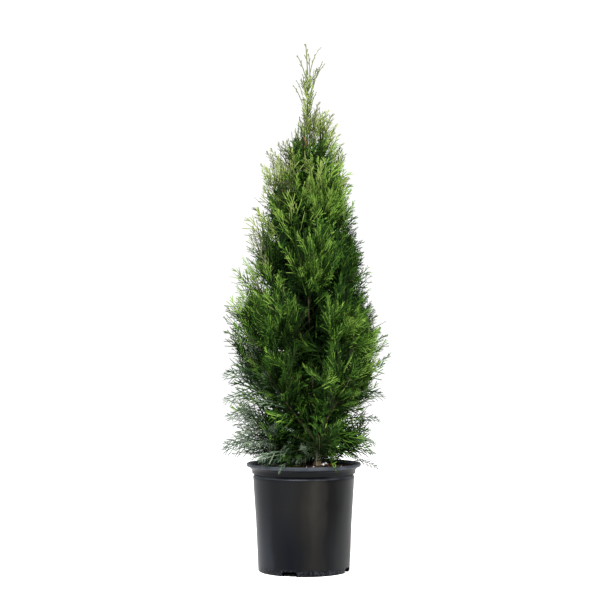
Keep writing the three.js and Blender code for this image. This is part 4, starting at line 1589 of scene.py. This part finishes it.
def grow_skirt(sprays, twigs):
    """Dark sprays that hang from the lowest limbs over the soil and down to the rim, but not on the right."""
    rng = np.random.default_rng(31)
    for i in range(SKIRT_SPRAYS):
        out = spiral_out(i)
        tip = out * rng.uniform(*SKIRT_REACH) + UP * (POT_HEIGHT + rng.uniform(*SKIRT_HEIGHTS))
        over_rim = math.hypot(tip[0], tip[1]) > RIM - 0.012
        if tip[0] > SKIRT_RIGHT or (over_rim and tip[2] < POT_HEIGHT + 0.007):
            continue
        if (OPEN_FROM < tip[0] and tip[1] < 0.03 and rng.random() < OPEN_SHARE) or in_parting(tip):
            continue
        on_left = tip[0] < SKIRT_LEFT
        if on_left and rng.random() < LEFT_OUT:
            continue
        level = level_across(out)
        along = unit(out - UP * rng.uniform(0.1, 0.4) + level * rng.normal(0, 0.6))
        length = rng.uniform(*SKIRT_LENGTH)
        foot = tip - along * length
        face = unit(UP + level * rng.normal(0, 0.6) + out * 0.3)
        column = 0 if on_left else 1
        if rng.random() < BLUISH[column]:
            colour = FIRST_BLUE + (rng.random() < LIGHTER_BLUE[column])
        else:
            colour = rng.integers(1, 4)
        kind = "fork" if rng.random() < FORKED_SHARE else "drooper"
        sprays.lay(pick(rng, kind), foot, along, face, length, -UP * 0.05, colour)
        line = branch_line(foot * [0.4, 0.4, 1] + UP * 0.012, along, foot + along * 0.01)
        add_twig(twigs, line, *OUTER_TWIG, 1)


before = tier_sprays[0].count()
grow_skirt(tier_sprays[0], twigs)
print("the skirt adds", tier_sprays[0].count() - before, "sprays")

# %% [markdown]
# ## The leader
#
# The top of the plant is one straight shoot with short, bright new sprays pressed against it. The leader's
# stem grows straight on from the trunk, and its sprays climb beside it in a spiral. Masses like those of
# the crown would be far too wide here.

# %% The leader
LEADER_SHOOTS = 28
LEADER_HEIGHTS = (0.85, 0.962)
LEADER_LENGTH = (0.03, 0.044)
LEADER_STEM_TOP = 0.96
LEADER_STEM_TIP_RADIUS = 0.0007
GOLD_SHARE = 0.75

leader = tier_sprays[LEADER]
leader_rng = np.random.default_rng(5)
leader_axis = trunk_axis(TRUNK_TIP)
leader_ground = leader_axis * [1, 1, 0]
leader_stem = np.stack([leader_axis - UP * 0.002, leader_ground + UP * LEADER_STEM_TOP])
add_twig(twigs, leader_stem, TRUNK_TIP_RADIUS, LEADER_STEM_TIP_RADIUS, 1, 6)
for i in range(LEADER_SHOOTS):
    out = spiral_out(i)
    foot = leader_ground + UP * mix(*LEADER_HEIGHTS, i / (LEADER_SHOOTS - 1)) + out * 0.002
    along = unit(UP + out * leader_rng.uniform(0.2, 0.75))
    tone = GOLD if leader_rng.random() < GOLD_SHARE else GOLD - 1
    pattern = pick(leader_rng, "lump")
    leader.lay(pattern, foot, along, out, leader_rng.uniform(*LEADER_LENGTH), -out * 0.15, tone)
print("leader:", leader.count(), "sprays")

# %% [markdown]
# ## The top of the crown
#
# Round the leader's foot the crown ends in upright shoots of many heights, lower to the left than to the
# right. The rule of the outline is too coarse for such steps, so the shoots have a line of their own, and
# each ends at or a little under it.

# %% The top of the crown
TOP_SHOOTS = 38
TOP_DEPTH = 0.045
TOP_LENGTH = (0.035, 0.055)
TOP_TONES = [BRIGHTEST - 1, GOLD - 1, GOLD, LAST_OLIVE, GREY]
TOP_SHARES = [0.03, 0.2, 0.42, 0.25, 0.1]
# the stepped top of the crown: place to the right, height
TOP_LINE = np.array(
    [
        (-0.083, 0.800),
        (-0.067, 0.832),
        (-0.044, 0.848),
        (-0.030, 0.842),
        (-0.018, 0.866),
        (-0.004, 0.892),
        (0.012, 0.915),
        (0.032, 0.915),
        (0.050, 0.905),
        (0.060, 0.890),
        (0.076, 0.840),
        (0.086, 0.810),
    ]
)

for i in range(TOP_SHOOTS):
    tip_x = mix(TOP_LINE[0, 0], TOP_LINE[-1, 0], (i + leader_rng.random()) / TOP_SHOOTS)
    depth = TOP_DEPTH * leader_rng.random() ** 1.5
    tip_y = leader_rng.normal(0, 0.02)
    tip = np.array([tip_x, tip_y, np.interp(tip_x, *TOP_LINE.T) - depth - abs(tip_y) * 0.8])
    out = unit((tip - leader_axis) * [1, 1, 0])
    along = unit(UP + out * leader_rng.uniform(0, 0.5))
    length = leader_rng.uniform(*TOP_LENGTH)
    face = [leader_rng.normal(0, 0.6), -1, 0.1]
    tone = leader_rng.choice(TOP_TONES, p=TOP_SHARES)
    pattern = pick(leader_rng, "shoot")
    leader.lay(pattern, tip - along * length, along, face, length, out * 0.05, tone)
print("top:", leader.count() - LEADER_SHOOTS, "shoots")

# %% [markdown]
# ## Free tips
#
# Thin tips stand free above the leader, short shoots stand round its foot, and one dried spray stands in
# front of the stem. They are few and each is seen alone, so they are chosen one by one: where each leaves
# the stem, and where it ends. Chance would hardly ever place them well.

# %% Free tips
# each free tip: its foot's place to the right and upwards, then its tip's to the right, back and upwards
FREE_TIPS = [
    (0.008, 0.982, 0.004, 0.000, 1.045),
    (0.013, 0.975, 0.010, 0.004, 1.026),
    (0.012, 0.985, 0.024, 0.006, 1.026),
    (0.023, 1.022, 0.036, 0.006, 1.040),
    (0.005, 0.975, -0.013, -0.004, 1.021),
    (0.012, 0.940, 0.030, -0.006, 0.990),
    (0.024, 0.975, 0.043, -0.012, 1.003),
    (0.025, 0.975, 0.038, -0.008, 1.008),
    (0.018, 0.975, 0.021, 0.012, 0.996),
    (0.003, 0.950, -0.002, 0.010, 0.986),
    (-0.001, 0.940, -0.015, -0.010, 0.970),
    (-0.002, 0.925, -0.021, 0.006, 0.963),
    (0.014, 0.920, 0.026, 0.014, 0.951),
]
# the same, for the short shoots that stand round the leader's foot
SIDE_SHOOTS = [
    (0.020, 0.870, 0.030, -0.010, 0.926),
    (0.026, 0.860, 0.040, -0.020, 0.906),
    (0.032, 0.862, 0.049, -0.002, 0.912),
    (0.038, 0.850, 0.058, 0.010, 0.906),
    (0.046, 0.832, 0.064, -0.012, 0.882),
    (0.020, 0.855, 0.036, 0.024, 0.900),
    (0.018, 0.870, 0.026, 0.008, 0.915),
    (0.028, 0.855, 0.045, -0.026, 0.893),
    (0.036, 0.840, 0.053, 0.018, 0.890),
    (0.050, 0.815, 0.070, -0.014, 0.862),
    (0.024, 0.865, 0.034, -0.020, 0.898),
    (0.056, 0.800, 0.077, 0.000, 0.845),
    (0.062, 0.790, 0.083, -0.020, 0.822),
    (0.004, 0.870, -0.002, -0.014, 0.903),
    (0.002, 0.850, -0.012, 0.008, 0.888),
    (-0.004, 0.835, -0.018, -0.010, 0.870),
    (-0.026, 0.805, -0.043, 0.004, 0.851),
    (-0.020, 0.805, -0.034, -0.016, 0.849),
    (-0.034, 0.800, -0.052, -0.006, 0.846),
    (-0.042, 0.795, -0.067, 0.010, 0.836),
    (-0.050, 0.790, -0.075, -0.010, 0.828),
    (-0.062, 0.775, -0.087, 0.000, 0.804),
]
# the same, for one dried spray in front of the stem
DRY_SPRAY = (0.0090, 0.816, 0.0010, -0.040, 0.852)


def lay_to(sprays, rng, place, kind, colour):
    """Lays one spray from a foot to a tip that are given as a row of FREE_TIPS."""
    foot_x, foot_z, tip_x, tip_y, tip_z = place
    foot = np.array([foot_x, leader_axis[1] + tip_y / 2, foot_z])
    way = np.array([tip_x, leader_axis[1] + tip_y, tip_z]) - foot
    length = np.linalg.norm(way)
    along = unit(way * [0.6, 0.6, 1])
    face = [rng.normal(0, 0.4), -1, 0.1]
    sprays.lay(pick(rng, kind), foot, along, face, length, way / length - along, colour)


for place in FREE_TIPS:
    lay_to(leader, leader_rng, place, "wisp", GREY)
for place in SIDE_SHOOTS:
    tone = leader_rng.choice([GREY, GOLD - 1, GOLD])
    lay_to(leader, leader_rng, place, "shoot", tone)
lay_to(leader, leader_rng, DRY_SPRAY, "wisp", DRY)
print("free tips:", len(FREE_TIPS), "side shoots:", len(SIDE_SHOOTS), "leader in all:", leader.count())

# %% [markdown]
# ## Stray sprays
#
# A few long sprays stand out from the crown or hang over the rim, and they catch the eye against the light.
# They are chosen one by one, as foot and tip, and arch over from the one to the other. A rule for so few
# sprays would be longer than the list.

# %% Stray sprays
# each stray: its foot, then its tip
STRAYS = [
    ((-0.086, -0.030, 0.388), (-0.158, -0.040, 0.384)),
    ((-0.088, -0.050, 0.350), (-0.156, -0.055, 0.336)),
    ((-0.085, -0.020, 0.315), (-0.152, -0.020, 0.303)),
    ((-0.088, -0.035, 0.268), (-0.156, -0.040, 0.250)),
    ((-0.084, 0.010, 0.256), (-0.161, 0.004, 0.236)),
    ((0.092, -0.030, 0.345), (0.158, -0.030, 0.346)),
    ((0.090, -0.010, 0.300), (0.152, 0.010, 0.296)),
    ((0.095, -0.040, 0.262), (0.140, -0.050, 0.250)),
    ((0.106, 0.004, 0.2170), (0.149, 0.006, 0.1995)),
    ((-0.034, -0.104, 0.2200), (-0.048, -0.119, 0.2010)),
]
STRAY_SHORT = 0.04
STRAY_TWIG = 0.05

stray_rng = np.random.default_rng(11)
strays = tier_sprays[0]
for foot, tip in STRAYS:
    foot, tip = np.array(foot), np.array(tip)
    length = np.linalg.norm(tip - foot)
    along = unit(tip - foot + UP * length * 0.25)
    bend = (tip - foot) / length - along
    pattern = pick(stray_rng, "drooper" if length > STRAY_SHORT else "plume")
    strays.lay(pattern, foot, along, [0.1, -1, 0.5], length, bend, FIRST_BLUE + 1)
    out = horizontal_out(foot)
    line = branch_line(foot - out * STRAY_TWIG - UP * 0.006, out, foot + along * 0.006)
    add_twig(twigs, line, 0.001, 0.0006, 1)
print("strays:", len(STRAYS))

# %% [markdown]
# ## Joining
#
# All twigs become one mesh, and the sprays become one mesh for each tier. Each stands for the plain masses
# of its tier. A few joined meshes render and export far faster than thousands of objects.

# %% Joining the foliage
twig_piece = twigs.piece("twigs", twig_skins)
smooth(twig_piece, 70)
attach(twig_piece, "root")
total = 0
for tier, (name, _, _, masses, _) in enumerate(TIERS):
    foliage = tier_sprays[tier].piece(f"sprays_{name}")
    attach(foliage, "root")
    if tier == LEADER:
        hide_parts("foliage_leader")
    else:
        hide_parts(*[f"foliage_{name}_{i + 1}" for i in range(masses)])
    total += len(foliage.data.polygons)
    print(name, tier_sprays[tier].count(), "sprays,", len(foliage.data.polygons), "faces")
print("foliage:", total, "faces, twigs:", len(twig_piece.data.polygons))
